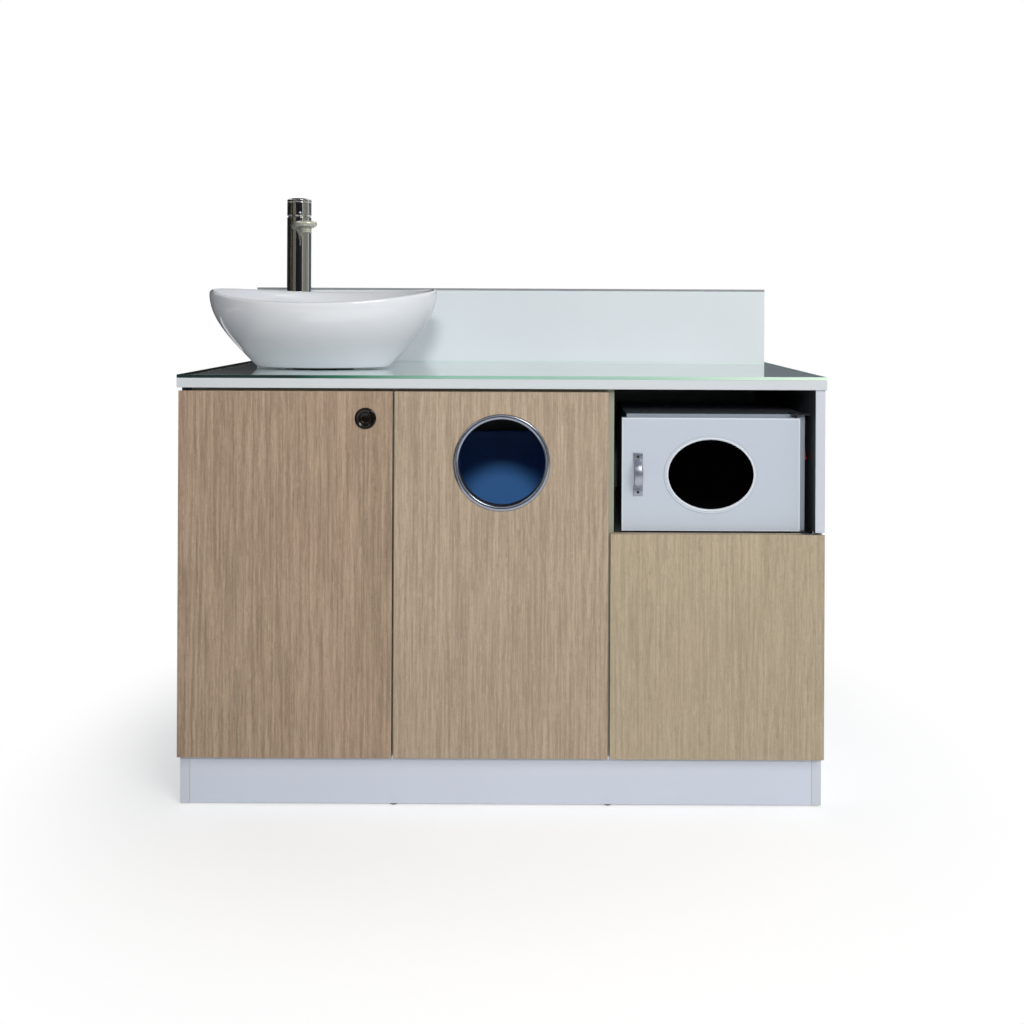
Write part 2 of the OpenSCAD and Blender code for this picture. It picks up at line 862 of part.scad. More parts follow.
// Pivot plate with its pin, leaf and eye, for a left-hand top corner at the origin of the pin
module pivot_bracket() {
  air = 0.5;
  eye_r = front_t / 2 - notch_skin - air;
  to_carcass = front_t / 2 + front_air - 0.1;
  leaf = [20, front_air - 0.3, 18 + plate_t];
  low = -plate_t - 0.75;
  translate([0, 0, low]) linear_extrude(plate_t) {
    circle(eye_r);
    translate([0, -eye_r]) square([plate_reach, eye_r]);
    translate([-eye_r + 1, 0]) square([plate_reach + eye_r - 1, to_carcass]);
  }
  translate([0, 0, low - pin_len]) cylinder(d = pin_d, h = pin_len + plate_t / 2);
  translate([plate_reach - leaf[0], to_carcass - leaf[1], low + plate_t - leaf[2]]) cube(leaf);
}

// Top and bottom brackets of one door whose edges lie at z_low and z_high
module bracket_pair(z_low, z_high) {
  translate([-x_pin, y_pin, z_high]) pivot_bracket();
  translate([-x_pin, y_pin, z_low]) mirror([0, 0, 1]) pivot_bracket();
}

module pivot_brackets() {
  color("dimgray") {
    bracket_pair(z_front, z_front_top);
    mirror([1, 0, 0]) bracket_pair(z_front, z_low_top);
  }
}

// Cuts for one pivot in a door's edge, at the origin of the pin
module pivot_cut() {
  translate([-pin_inset - 1, -front_t / 2 + notch_skin, -notch_depth])
    cube([notch_len + pin_inset + 1, front_t, notch_depth + 1]);
  translate([0, 0, -notch_depth - pin_len]) cylinder(d = pin_d + 2 * run, h = pin_len + 1);
}

// A door hung at its left edge, from the cabinet's left side to the first gap
module door_panel(z_low, z_high) {
  ease = 5;
  tall = 3 * (z_high - z_low);
  difference() {
    block([-x_side, y_face, z_low], [-x_side + front_w, y_front_back, z_high]);
    translate([-x_pin, y_pin, z_high]) pivot_cut();
    translate([-x_pin, y_pin, z_low]) mirror([0, 0, 1]) pivot_cut();
    translate([-x_side, y_front_back, z_low - 1]) rotate(45)
      cube([ease * sqrt(2), ease * sqrt(2), tall], center = true);
  }
}

module left_door() {
  color("tan") difference() {
    door_panel(z_front, z_front_top);
    translate([knob_x, y_face - 1, knob_z]) rod_y(housing_d + 2 * run, front_t + 2);
  }
}

module right_door() {
  color("tan") mirror([1, 0, 0]) door_panel(z_front, z_low_top);
}

// Magnetic catches under the front rail and under the niche shelf, near the doors' free edges
module catch_body(x, z) {
  body_d = 26;
  slot = [4, 4, catch_h - 6];
  difference() {
    block([x - catch_w / 2, y_carcass, z - catch_h], [x + catch_w / 2, y_carcass + body_d, z]);
    for (side = [-6, 6]) translate([x + side - slot[0] / 2, y_carcass - 1, z - catch_h + 3]) cube(slot);
  }
}

module door_catches() {
  color("ivory") {
    catch_body(-catch_x, catch_left_z);
    catch_body(catch_x, z_shelf);
  }
}

module catch_plate(x, z) {
  half = 18;
  block([x - half, y_front_back, z - catch_h + 2], [x + half, y_carcass - seat, z - 2]);
}

module left_catch_plate() {
  color("silver") catch_plate(-catch_x, catch_left_z);
}

module right_catch_plate() {
  color("silver") catch_plate(catch_x, z_shelf);
}

// ---- Push knob ----

// Turned parts are drawn with the axis up and the face at z = 0, then laid on the door
module on_door() {
  translate([knob_x, y_face, knob_z]) rotate([-90, 0, 0]) children();
}

module knob_rosette() {
  color([0.15, 0.13, 0.11]) on_door() rotate_extrude() polygon(concat(
    [[rosette_d / 2, 0]],
    [for (a = [0 : 15 : 90]) [rosette_d / 2 - 3 + 3 * cos(a), -rosette_h + 2 - 2 * sin(a)]],
    [[button_d / 2 + 2, -rosette_h], [button_d / 2 + run, -rosette_h + 1.5], [button_d / 2 + run, 0]]));
}

module knob_housing() {
  color("dimgray") on_door() difference() {
    union() {
      cylinder(d = housing_d, h = housing_len);
      translate([0, 0, front_t]) cylinder(d = housing_d + 8, h = 5);
    }
    translate([0, 0, -1]) cylinder(d = button_d + 2 * run, h = housing_len - 2);
  }
}

module knob_button() {
  r = button_d / 2;
  len = housing_len - 8;
  color([0.1, 0.09, 0.08]) on_door() translate([0, 0, -rosette_h + button_sink]) difference() {
    rotate_extrude() polygon([[0, 0.8], [r - 5, 0.4], [r - 1.5, 0], [r, 1.5], [r, len], [0, len]]);
    translate([0, 0, 6]) cylinder(d = r, h = housing_len);
  }
}

// ---- Waste pull-out ----

// The three nested sections of a runner, drawn for the right-hand side. Section 0 is the rail on
// the partition, 1 travels in it, and 2 carries the tray
module runner_section(k) {
  in = k * (roll_t + roll_gap);
  w = runner_t - in - (k == 0 ? 3 : k == 1 ? 2 : 0);
  x = k == 2 ? x_drawer : x_part - in - w;
  translate([k == 1 ? x_part - runner_t + 2 : x, y_runner, z_runner + in])
    channel(w, runner_h - 2 * in, roll_t, runner_len, flip = k < 2);
}

module runner_rails() {
  color("silver") both_sides() runner_section(0);
}

module runner_middles() {
  color("gainsboro") both_sides() runner_section(1);
}

module runner_slides() {
  color("silver") both_sides() runner_section(2);
}

// Folded steel tray between the runners: a higher front wall carries the front
module bin_carriage() {
  screw_d = 6;
  screw_x = 120;
  color("lightgray") translate([-x_drawer, y_front_back, z_tray]) difference() {
    union() {
      cube([2 * x_drawer, tray_d, tray_wall]);
      cube([2 * x_drawer, tray_t, tray_front_h]);
    }
    translate([tray_t, tray_t, tray_t])
      cube([2 * (x_drawer - tray_t), tray_d - 2 * tray_t, tray_wall]);
    for (side = [-1, 1])
      translate([x_drawer + side * screw_x, -1, tray_front_h - 25]) rod_y(screw_d, tray_t + 2);
  }
}

// Tapered bin with a high back. Its rim slopes down to the front
module bin_form(grow, lift) {
  r = 30;
  w = bin_w + 2 * grow;
  d = bin_d + 2 * grow;
  hull() {
    translate([0, 0, lift]) linear_extrude(1) round_rect(w - bin_taper, d - bin_taper, r, $fn = 32);
    translate([0, 0, bin_back_h]) linear_extrude(1) round_rect(w, d, r, $fn = 32);
  }
}

// Everything below the sloping rim, or with a band the rim's own sloping strip
module under_rim(band) {
  side = bin_d / 2 + 20;
  rise = side * (bin_back_h - bin_front_h) / bin_d;
  mid = (bin_back_h + bin_front_h) / 2;
  low = band > 0 ? [mid - band - rise, mid - band + rise] : [-1, -1];
  translate([-bin_w, 0, 0]) rotate([90, 0, 90]) linear_extrude(2 * bin_w)
    polygon([[-side, low[0]], [side, low[1]], [side, mid + rise], [-side, mid - rise]]);
}

module waste_bin() {
  lip = 5;
  band = 10;
  color("royalblue") translate([0, y_bin, z_bin]) difference() {
    union() {
      intersection() {
        bin_form(0, 0);
        under_rim(0);
      }
      intersection() {
        bin_form(lip, 0);
        under_rim(band);
      }
    }
    bin_form(-bin_wall, bin_wall);
  }
}

module waste_front() {
  color("tan") difference() {
    block([-front_w / 2, y_face, z_front], [front_w / 2, y_front_back, z_front_top]);
    translate([0, y_face - 1, z_ring]) rod_y(ring_bore + 2 * ring_sleeve + 2 * seat, front_t + 2);
  }
}

// Spun ring: a rolled face on a sleeve that lines the hole
module waste_ring() {
  r = ring_bore / 2;
  rise = 3;
  roll = 2;
  back = front_t + 4;
  out = r + ring_face;
  color("silver") translate([0, y_face, z_ring]) rotate([-90, 0, 0])
    rotate_extrude($fn = 96) polygon(concat(
      [[out, 0]],
      [for (a = [0 : 30 : 90]) [out - roll + roll * cos(a), -1 - (rise - 1) * sin(a)]],
      [for (a = [90 : 30 : 180]) [r + roll + roll * cos(a), roll - rise - roll * sin(a)]],
      [[r, back], [r + ring_sleeve, back], [r + ring_sleeve, 0]]));
}

// ---- Steriliser ----

module uv_door_shape(in, depth0, depth1) {
  block([uv_door_x + in, y_uv_door + depth0, z_uv_door + in],
    [uv_door_x + uv_door_w - in, y_uv_door + depth1, z_uv_door + uv_door_h - in]);
}

// An oval prism along +Y, centred on the window
module window_oval(grow, depth0, depth1) {
  translate([window_x, y_uv_door + depth1, window_z]) rotate([90, 0, 0])
    linear_extrude(depth1 - depth0) polygon(oval(window_w + 2 * grow, window_h + 2 * grow));
}

// Folded casing, open in front, with an inward flange, lamp sockets and rack ledges
module steriliser_casing() {
  socket = [socket_in, socket_side, socket_h];
  w = uv_w;
  t = sheet_t;
  in = w - 2 * uv_flange;
  color("whitesmoke") difference() {
    union() {
      difference() {
        translate([uv_x, y_uv, z_uv]) cube([w, uv_d, uv_h]);
        translate([uv_x + t, y_uv + t, z_uv + t]) cube([w - 2 * t, uv_d - 2 * t, uv_h - 2 * t]);
        translate([uv_x + uv_flange, y_uv - 1, z_uv + uv_flange])
          cube([in, t + 2, uv_h - 2 * uv_flange]);
      }
      for (x = [t, w - t - socket[0]])
        translate([uv_x + x, lamp_y - socket_side / 2, lamp_z - socket_side / 2]) cube(socket);
      for (x = [t, w - t - uv_ledge])
        translate([uv_x + x, y_uv + 20, rack_z - 2 - t]) cube([uv_ledge, uv_d - 40, t]);
    }
    for (x = [t + 8, w - t - socket[0] - 1])
      translate([uv_x + x, lamp_y, lamp_z]) rotate([0, 90, 0]) cylinder(d = lamp_d + 2 * run, h = 5);
    switch_box(w - t - 1, w + 1, 1.5);
    translate([gland_x, y_uv + uv_d - t - 1, gland_z]) rod_y(gland_d, t + 2);
  }
}

// A box round the rocker, between two distances from the casing's left wall
module switch_box(from, to, grow) {
  block([uv_x + from, rocker_y - rocker_w / 2 - grow, rocker_z - rocker_h / 2 - grow],
    [uv_x + to, rocker_y + rocker_w / 2 + grow, rocker_z + rocker_h / 2 + grow]);
}

module steriliser_feet() {
  in = 24;
  color("black") for (x = [uv_x + in, uv_x + uv_w - in], y = [y_uv + in, y_uv + uv_d - in])
    translate([x, y, z_shelf_top]) cylinder(d1 = 16, d2 = 20, h = foot_h);
}

module uv_lamp() {
  end = sheet_t + 8 + seat;
  color("lavender") translate([uv_x + end, lamp_y, lamp_z]) rotate([0, 90, 0])
    cylinder(d = lamp_d, h = uv_w - 2 * end);
}

// Wire rack: a rectangular frame with cross wires
module steriliser_rack() {
  wire = 3;
  gap = 20;
  w = uv_w - 2 * sheet_t - 4;
  d = uv_d - 44;
  count = floor((w - 2 * wire) / gap);
  pitch = (w - wire) / count;
  color("silver") translate([uv_x + sheet_t + 2, y_uv + 22, rack_z - 2]) {
    for (x = [0, w - wire]) translate([x, 0, 0]) cube([wire, d, wire]);
    for (y = [0, (d - wire) / 2, d - wire]) translate([0, y, 0]) cube([w, wire, wire]);
    for (i = [1 : count - 1]) translate([pitch * i, 0, wire / 2]) cube([wire, d, wire]);
  }
}

// Switch frame in the casing's right wall, with a hollow box behind it
module switch_bezel() {
  box_d = 12;
  color("black") difference() {
    union() {
      switch_box(uv_w, uv_w + bezel_edge, 3);
      switch_box(uv_w - box_d, uv_w + bezel_edge, 1.3);
    }
    switch_box(uv_w - box_d + 1, uv_w + bezel_edge + 1, seat);
    translate([uv_x + uv_w, rocker_y - rocker_w / 2 - 1.2, rocker_z])
      rod_y(axle_d + 2 * run, rocker_w + 2.4);
  }
}

// Rocker with two faces that meet over its axle. At rest its upper half is pressed in
module rocker() {
  r = rocker_h / 2 - 1;
  proud = 5;
  dip = 1.4;
  root = 4;
  color("red") translate([uv_x + uv_w, rocker_y + rocker_w / 2, rocker_z])
    rotate([0, -rocker_tilt, 0]) rotate([90, 0, 0]) {
      linear_extrude(rocker_w)
        polygon([[-root, -r / 2], [proud, -r], [proud - dip, 0], [proud, r], [-root, r / 2]]);
      translate([0, 0, -1]) cylinder(d = axle_d, h = rocker_w + 2);
    }
}

module cord_gland() {
  color("black") translate([gland_x, y_uv + uv_d - 4, gland_z]) difference() {
    union() {
      rod_y(gland_d - 2 * run, 6);
      translate([0, 4, 0]) rod_y(gland_d + 6, 5);
      translate([0, 9, 0]) rod_y(gland_d, 7);
    }
    translate([0, -1, 0]) rod_y(6, 20);
  }
}

// Pan-shaped door: a front skin with folded edges, notched for the hinge pins
module steriliser_door() {
  boss = [12, uv_door_t - sheet_t / 2, 20];
  color("whitesmoke") difference() {
    union() {
      difference() {
        uv_door_shape(0, 0, uv_door_t);
        uv_door_shape(sheet_t, sheet_t, uv_door_t + 1);
      }
      for (z = [sheet_t / 2, uv_door_h - boss[2] - sheet_t / 2])
        translate([uv_pin_x - boss[0] / 2, y_uv_door + sheet_t / 2, z_uv_door + z]) cube(boss);
    }
    window_oval(0, -1, sheet_t + 1);
    translate([uv_pin_x, uv_pin_y, z_uv_door - 1]) cylinder(d = uv_pin_d + 2 * run, h = uv_door_h + 2);
  }
}

// Dark pane behind the door's skin
module door_window() {
  color([0.05, 0.05, 0.06]) window_oval(8, sheet_t + seat, sheet_t + 3);
}

// Bright oval rim pressed round the opening
module window_rim() {
  color("gainsboro") difference() {
    window_oval(rim_face, -1.5, 0);
    window_oval(0, -2, 1);
  }
}

// Bow handle: an arched strap between two feet on the door
module steriliser_handle() {
  strap = 3.5;
  foot = [handle_w, 3, 14];
  half = handle_len / 2 - foot[2] / 2;
  bow_r = (half * half + handle_rise * handle_rise) / (2 * handle_rise);
  color("silver") translate([handle_x - handle_w / 2, y_uv_door, window_z]) {
    for (z = [-handle_len / 2, handle_len / 2 - foot[2]]) translate([0, -foot[1], z]) cube(foot);
    intersection() {
      translate([0, bow_r - handle_rise - 1, 0]) rotate([0, 90, 0]) difference() {
        cylinder(r = bow_r, h = handle_w);
        translate([0, 0, -1]) cylinder(r = bow_r - strap, h = handle_w + 2);
      }
      translate([-1, -2 * handle_rise, -half]) cube([handle_w + 2, 2 * handle_rise - 0.5, 2 * half]);
    }
  }
}

// Black hinge plates over and under the door's right end, each with its pin
module steriliser_hinges() {
  t = hinge_t;
  plate = [hinge_w, hinge_front + uv_door_t / 2 + uv_gap + hinge_back, t];
  low_pin = z_uv_door - z_uv + hinge_pin_in;
  high_pin = z_uv + uv_h - z_uv_door - uv_door_h + hinge_pin_in;
  color("black") {
    translate([uv_pin_x - hinge_side, uv_pin_y - hinge_front, z_uv - t]) cube(plate);
    translate([uv_pin_x, uv_pin_y, z_uv - t / 2]) cylinder(d = uv_pin_d, h = low_pin + t / 2);
    translate([uv_pin_x - hinge_side, uv_pin_y - hinge_front, z_uv + uv_h]) cube(plate);
    translate([uv_pin_x, uv_pin_y, z_uv + uv_h - high_pin]) cylinder(d = uv_pin_d, h = high_pin + t / 2);
  }
}

side_left();
side_right();
partition_left();
partition_right();
base_panel();
back_panel();
plinth_board();
top_rails();
niche_shelf();
floor_glides();
worktop_board();
glass_top();
upstand();
upstand_trim();
basin();
basin_gasket();
waste_flange();
waste_nut();
bottle_trap();
trap_cup();
waste_pipe();
waste_container();
fresh_container();
container_caps();
riser_pipe();
supply_pump();
tap_body();
tap_spout();
tap_aerator();
tap_cartridge();
tap_nut();
tap_cap();
pivot_brackets();
door_catches();
left_door();
left_catch_plate();
knob_rosette();
knob_housing();
knob_button();
right_door();
right_catch_plate();
runner_rails();
runner_middles();
runner_slides();
bin_carriage();
waste_bin();
waste_front();
waste_ring();
steriliser_casing();
steriliser_feet();
steriliser_rack();
uv_lamp();
switch_bezel();
rocker();
cord_gland();
steriliser_door();
door_window();
window_rim();
steriliser_handle();
steriliser_hinges();
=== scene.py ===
import math

import bmesh
import bpy
from mathutils import Matrix, Vector


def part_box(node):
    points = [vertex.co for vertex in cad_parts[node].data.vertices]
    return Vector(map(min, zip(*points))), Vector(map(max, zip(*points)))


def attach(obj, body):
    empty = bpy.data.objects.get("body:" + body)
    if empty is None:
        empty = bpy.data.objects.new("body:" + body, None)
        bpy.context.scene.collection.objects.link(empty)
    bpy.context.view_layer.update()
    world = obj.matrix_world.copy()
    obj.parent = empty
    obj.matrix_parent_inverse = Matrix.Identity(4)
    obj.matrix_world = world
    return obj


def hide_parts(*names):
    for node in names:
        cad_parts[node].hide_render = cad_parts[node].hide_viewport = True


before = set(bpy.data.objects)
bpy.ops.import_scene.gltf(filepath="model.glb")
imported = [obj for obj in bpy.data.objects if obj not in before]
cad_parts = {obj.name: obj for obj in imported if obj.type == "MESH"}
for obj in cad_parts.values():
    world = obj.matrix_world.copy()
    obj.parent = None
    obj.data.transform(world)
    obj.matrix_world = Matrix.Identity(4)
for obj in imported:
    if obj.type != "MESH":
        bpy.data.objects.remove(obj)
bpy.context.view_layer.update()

scene = bpy.context.scene

# ---- Camera ----
# It stands level in front of the cabinet, a little right of the middle, at about a standing
# person's waist height. The shift brings the whole cabinet into the frame.
camera = bpy.data.objects.new("camera", bpy.data.cameras.new("camera"))
scene.collection.objects.link(camera)
camera.location = (0.072, -2.0306, 0.9298)
camera.rotation_euler = (math.radians(90), -0.0045, 0)
camera.data.sensor_width = 36
camera.data.lens = 33.77
camera.data.shift_x = -0.0286
camera.data.shift_y = -0.1999
scene.camera = camera
scene.view_settings.view_transform = "Standard"

# ---- Studio ----
# A white sweep for a floor, a white surround, a large soft lamp high on the right, a small one
# in front, and dark cards that only polished surfaces mirror.


def paint(name, color, roughness, **sockets):
    """A new material with plain values on its shader's sockets."""
    made = bpy.data.materials.new(name)
    made.use_nodes = True
    shader = made.node_tree.nodes["Principled BSDF"]
    shader.inputs["Base Color"].default_value = (*color, 1)
    shader.inputs["Roughness"].default_value = roughness
    for socket, value in sockets.items():
        shader.inputs[socket.replace("_", " ")].default_value = value
    return made


def add(made, kind, inputs=(), **settings):
    """Adds a shader node. An input given as a socket is linked, any other is set."""
    tree = made.node_tree
    new = tree.nodes.new("ShaderNode" + kind)
    for name, value in settings.items():
        setattr(new, name, value)
    for socket, value in dict(inputs).items():
        if isinstance(value, bpy.types.NodeSocket):
            tree.links.new(value, new.inputs[socket])
        else:
            new.inputs[socket].default_value = value
    return new


def piece(name, bm, material, body):
    """Makes the built mesh an object, paints it and hangs it on its body."""
    mesh = bpy.data.meshes.new(name)
    bm.to_mesh(mesh)
    bm.free()
    made = bpy.data.objects.new(name, mesh)
    scene.collection.objects.link(made)
    mesh.materials.append(material)
    if body:
        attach(made, body)
    return made


def calc(made, operation, *values):
    """The result of a math node on sockets or plain numbers."""
    return add(made, "Math", enumerate(values), operation=operation).outputs[0]


def ramp(made, value, low, high, at_low=0.0, at_high=1.0, **settings):
    """Maps a value from one span to another, and holds it at both ends."""
    return add(made, "MapRange", {"Value": value, "From Min": low, "From Max": high,
               "To Min": at_low, "To Max": at_high}, **settings).outputs[0]


def place_on(made):
    """Where a point of the piece lies, in metres from the part's origin."""
    return add(made, "TexCoord").outputs["Object"]


def surface(made, shader):
    """Makes a shader the finished surface of a material or of the world."""
    tree = made.node_tree
    end = next(node for node in tree.nodes if node.name.endswith("Output"))
    tree.links.new(shader.outputs[0], end.inputs["Surface"])


# The floor takes the part's soft shadow close by, and is plain white further out.
floor_bm = bmesh.new()
bmesh.ops.create_grid(floor_bm, x_segments=1, y_segments=1, size=30)
floor_paint = paint("floor_white", (0.86, 0.86, 0.86), 0.9)
floor_rays = add(floor_paint, "LightPath").outputs
floor_seen = calc(floor_paint, "MAXIMUM", floor_rays["Is Camera Ray"],
                  floor_rays["Is Glossy Ray"])
floor_lift = add(floor_paint, "Emission", {"Color": (1, 1, 1, 1), "Strength": 0.30})
floor_glow = add(floor_paint, "MixShader", {0: floor_seen, 2: floor_lift.outputs[0]})
floor_near = add(floor_paint, "AddShader", {0: floor_glow.outputs[0],
                 1: floor_paint.node_tree.nodes["Principled BSDF"].outputs[0]})
floor_white = add(floor_paint, "Emission", {"Color": (1, 1, 1, 1), "Strength": 1.0})
floor_reach = add(floor_paint, "VectorMath", {0: place_on(floor_paint)}, operation="LENGTH")
floor_far = ramp(floor_paint, floor_reach.outputs["Value"], 0.5, 1.05,
                 interpolation_type="SMOOTHSTEP")
floor_away = calc(floor_paint, "MULTIPLY", floor_seen, floor_far)
surface(floor_paint, add(floor_paint, "MixShader", {0: floor_away, 1: floor_near.outputs[0],
        2: floor_white.outputs[0]}))
piece("studio_floor", floor_bm, floor_paint, None)

# Matt surfaces are lit from all round: most from the right, and from low down at the back left.
# What is seen, mirrored or looked through is plain white.
world = bpy.data.worlds.new("surround")
scene.world = world
world.use_nodes = True
sky_way = add(world, "SeparateXYZ", {0: add(world, "TexCoord").outputs["Generated"]}).outputs
right_light = ramp(world, sky_way["X"], -0.5, 1, 0.0, 0.84)
left_light = ramp(world, sky_way["X"], -0.3, -0.8)
for axis, start, full in (("Y", 0.1, 0.5), ("Z", 0.5, 0.15)):
    left_light = calc(world, "MULTIPLY", left_light, ramp(world, sky_way[axis], start, full))
left_strength = 3.4
all_round = calc(world, "MULTIPLY_ADD", left_light, left_strength, right_light)
fill = add(world, "Background", {"Color": (0.93, 0.96, 1.0, 1), "Strength": all_round})
backdrop = world.node_tree.nodes["Background"]
backdrop.inputs["Color"].default_value = (1, 1, 1, 1)
sky_rays = add(world, "LightPath").outputs
sky_seen = calc(world, "MAXIMUM", sky_rays["Is Camera Ray"], sky_rays["Is Glossy Ray"])
sky_seen = calc(world, "MAXIMUM", sky_seen, sky_rays["Is Transmission Ray"])
surface(world, add(world, "MixShader", {0: sky_seen, 1: fill.outputs[0],
        2: backdrop.outputs[0]}))


def lamp(name, place, target, width, height, power, color, mirrored=True):
    """A soft rectangular lamp turned towards a point, which polished surfaces mirror or not."""
    light = bpy.data.lights.new(name, "AREA")
    light.shape = "RECTANGLE"
    light.size, light.size_y = width, height
    light.energy = power
    light.color = color
    made = bpy.data.objects.new(name, light)
    scene.collection.objects.link(made)
    made.location = place
    made.rotation_euler = (Vector(target) - Vector(place)).to_track_quat("-Z", "Y").to_euler()
    made.visible_glossy = mirrored


lamp("key_lamp", (1.6, -2.6, 2.9), (0.1, -0.1, 0.6), 1.6, 1.2, 44, (1.0, 0.985, 0.96))
lamp("front_lamp", (0.10, -2.7, 1.68), (0.05, -0.2, 0.6), 0.34, 0.24, 29,
     (1.0, 0.99, 0.975), mirrored=False)


def dark_card(name, place, width, height, turn, shade, tilt=90):
    """A card of one shade, upright unless tilted, that shows in polished surfaces alone."""
    bm = bmesh.new()
    bmesh.ops.create_grid(bm, x_segments=1, y_segments=1, size=0.5)
    bmesh.ops.scale(bm, vec=(width, height, 1), verts=bm.verts)
    bmesh.ops.rotate(bm, matrix=Matrix.Rotation(math.radians(tilt), 3, "X"), verts=bm.verts)
    bmesh.ops.rotate(bm, matrix=Matrix.Rotation(math.radians(turn), 3, "Z"), verts=bm.verts)
    bmesh.ops.translate(bm, vec=place, verts=bm.verts)
    card = piece(name, bm, paint(name, shade, 1.0), None)
    card.visible_camera = False
    card.visible_diffuse = False
    card.visible_shadow = False
    card.visible_transmission = False
    card.visible_volume_scatter = False


dark_card("card_back_left", (-2.45, 1.49, 1.2), 6.4, 1.9, 55, (0.012, 0.012, 0.010))
dark_card("card_left", (-1.99, -2.03, 1.2), 1.4, 2.0, -46, (0.26, 0.225, 0.165))
dark_card("card_far_left", (-2.83, -1.17, 1.2), 1.0, 2.0, -46, (0.042, 0.040, 0.026))
dark_card("card_front", (0.13, -3.1, 1.2), 4.0, 2.6, 11, (0.012, 0.014, 0.026))
dark_card("card_right", (2.1, -1.0, 1.2), 2.3, 2.0, 66, (0.47, 0.445, 0.37))
dark_card("card_far_right", (2.9, 0.35, 1.2), 1.9, 2.0, 95, (0.52, 0.585, 0.49))
dark_card("card_back_right", (1.3, 2.6, 1.5), 3.4, 1.6, -35, (0.28, 0.32, 0.37))
dark_card("card_low_left", (-2.3, -0.4, 0.03), 3.0, 4.0, 0, (0.05, 0.055, 0.07), 0)
dark_card("card_above", (-0.3, -0.4, 4.2), 5.0, 5.0, 0, (0.06, 0.06, 0.065), 0)

# ---- Carcass ----
# Sides, partitions, base, back, shelf, rails and plinth are boards faced with melamine. Outside
# they are a cool white, the inner faces carry painted shade, charcoal behind a pale front edge,
# and the screwed back panel is grey.


def softener():
    """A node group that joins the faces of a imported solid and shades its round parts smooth."""
    group = bpy.data.node_groups.new("smooth_round_parts", "GeometryNodeTree")
    for way in ("INPUT", "OUTPUT"):
        group.interface.new_socket("Geometry", in_out=way, socket_type="NodeSocketGeometry")
    steps = [group.nodes.new(kind) for kind in (
        "NodeGroupInput", "GeometryNodeRemoveAttribute", "GeometryNodeMergeByDistance",
        "GeometryNodeSetShadeSmooth", "GeometryNodeSetShadeSmooth", "NodeGroupOutput")]
    _, forget, merge, _, keep_creases, _ = steps
    forget.inputs["Name"].default_value = "custom_normal"
    merge.inputs["Distance"].default_value = 0.00002
    angle = group.nodes.new("GeometryNodeInputMeshEdgeAngle")
    creased = group.nodes.new("FunctionNodeCompare")
    creased.operation = "GREATER_THAN"
    creased.inputs["B"].default_value = math.radians(32)
    group.links.new(angle.outputs["Unsigned Angle"], creased.inputs["A"])
    keep_creases.domain = "EDGE"
    keep_creases.inputs["Shade Smooth"].default_value = False
    group.links.new(creased.outputs["Result"], keep_creases.inputs["Selection"])
    for first, then in zip(steps, steps[1:]):
        group.links.new(first.outputs[0], then.inputs[0])
    return group


smooth_round_parts = softener()


def dress(node, material, ease=0.0):
    """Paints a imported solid, smooths its round parts and eases its sharp edges.

    Triangles that lie in one plane are joined first, so that the bevel meets whole faces.
    """
    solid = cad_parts[node]
    solid.data.materials.clear()
    solid.data.materials.append(material)
    smooth = solid.modifiers.new("smooth", "NODES")
    smooth.node_group = smooth_round_parts
    if ease:
        flat = solid.modifiers.new("flat", "DECIMATE")
        flat.decimate_type = "DISSOLVE"
        flat.angle_limit = math.radians(0.5)
        rounding = solid.modifiers.new("eased", "BEVEL")
        rounding.width = ease
        rounding.segments = 2
        rounding.limit_method = "ANGLE"
        rounding.angle_limit = math.radians(40)
        rounding.harden_normals = True


def feed(made, socket, output):
    """Links an output to a socket of the material's own shader."""
    made.node_tree.links.new(output, made.node_tree.nodes["Principled BSDF"].inputs[socket])


def noise(made, scale, detail, place=None, **inputs):
    """A cloudy noise from 0 to 1, with its scale in features per metre."""
    return add(made, "TexNoise", {"Vector": place_on(made) if place is None else place,
               "Scale": scale, "Detail": detail, **inputs}).outputs["Fac"]


def relief(made, height, strength, depth):
    """Raises the finish by a pattern, without changing the mesh."""
    bump = add(made, "Bump", {"Height": height, "Strength": strength, "Distance": depth})
    feed(made, "Normal", bump.outputs["Normal"])


def grainy_bump(made, scale, depth):
    """A fine moulded or pressed surface."""
    relief(made, noise(made, scale, 3.0), 0.5, depth)


def blend(made, share, under, over, way="MIX"):
    """Lays one colour over another by a share from 0 to 1."""
    under, over = (c if isinstance(c, bpy.types.NodeSocket) else (*c, 1) for c in (under, over))
    return add(made, "Mix", {0: share, 6: under, 7: over}, data_type="RGBA",
               blend_type=way).outputs[2]


def toned(made, color, value):
    """A colour that is made lighter or darker by a value near 1."""
    return add(made, "HueSaturation", {"Value": value, "Color": color}).outputs[0]


def plain_melamine(name, color):
    """Satin melamine with its pearl texture."""
    made = paint(name, color, 0.38, Specular_IOR_Level=0.4)
    grainy_bump(made, 1400, 0.00008)
    return made


def melamine(name, color):
    """Satin melamine whose tone drifts a little over the board."""
    made = plain_melamine(name, color)
    tone = ramp(made, noise(made, 2.2, 2.0), 0.3, 0.7, 0.975, 1.02)
    feed(made, "Base Color", toned(made, (*color, 1), tone))
    return made


# Painted shade: the boards inside are pale at the front edge and fade to charcoal within a
# hand's breadth, as the shade deepens inside.
shaded_inside_board = plain_melamine("inside_painted_shade", (0.03, 0.032, 0.035))
inside_y = add(shaded_inside_board, "SeparateXYZ", {0: place_on(shaded_inside_board)}).outputs["Y"]
front_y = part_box("side_left")[0].y
fade_depth = 0.11
inside_shade_ramp = add(shaded_inside_board, "ValToRGB",
                  {"Fac": ramp(shaded_inside_board, inside_y, front_y, front_y + fade_depth)})
fade = inside_shade_ramp.color_ramp
fade.elements[0].color = (0.31, 0.32, 0.25, 1)
fade.elements[1].position = 1.0
fade.elements[1].color = (0.045, 0.050, 0.056, 1)
fade.elements.new(0.25).color = (0.13, 0.155, 0.15, 1)
feed(shaded_inside_board, "Base Color", inside_shade_ramp.outputs[0])
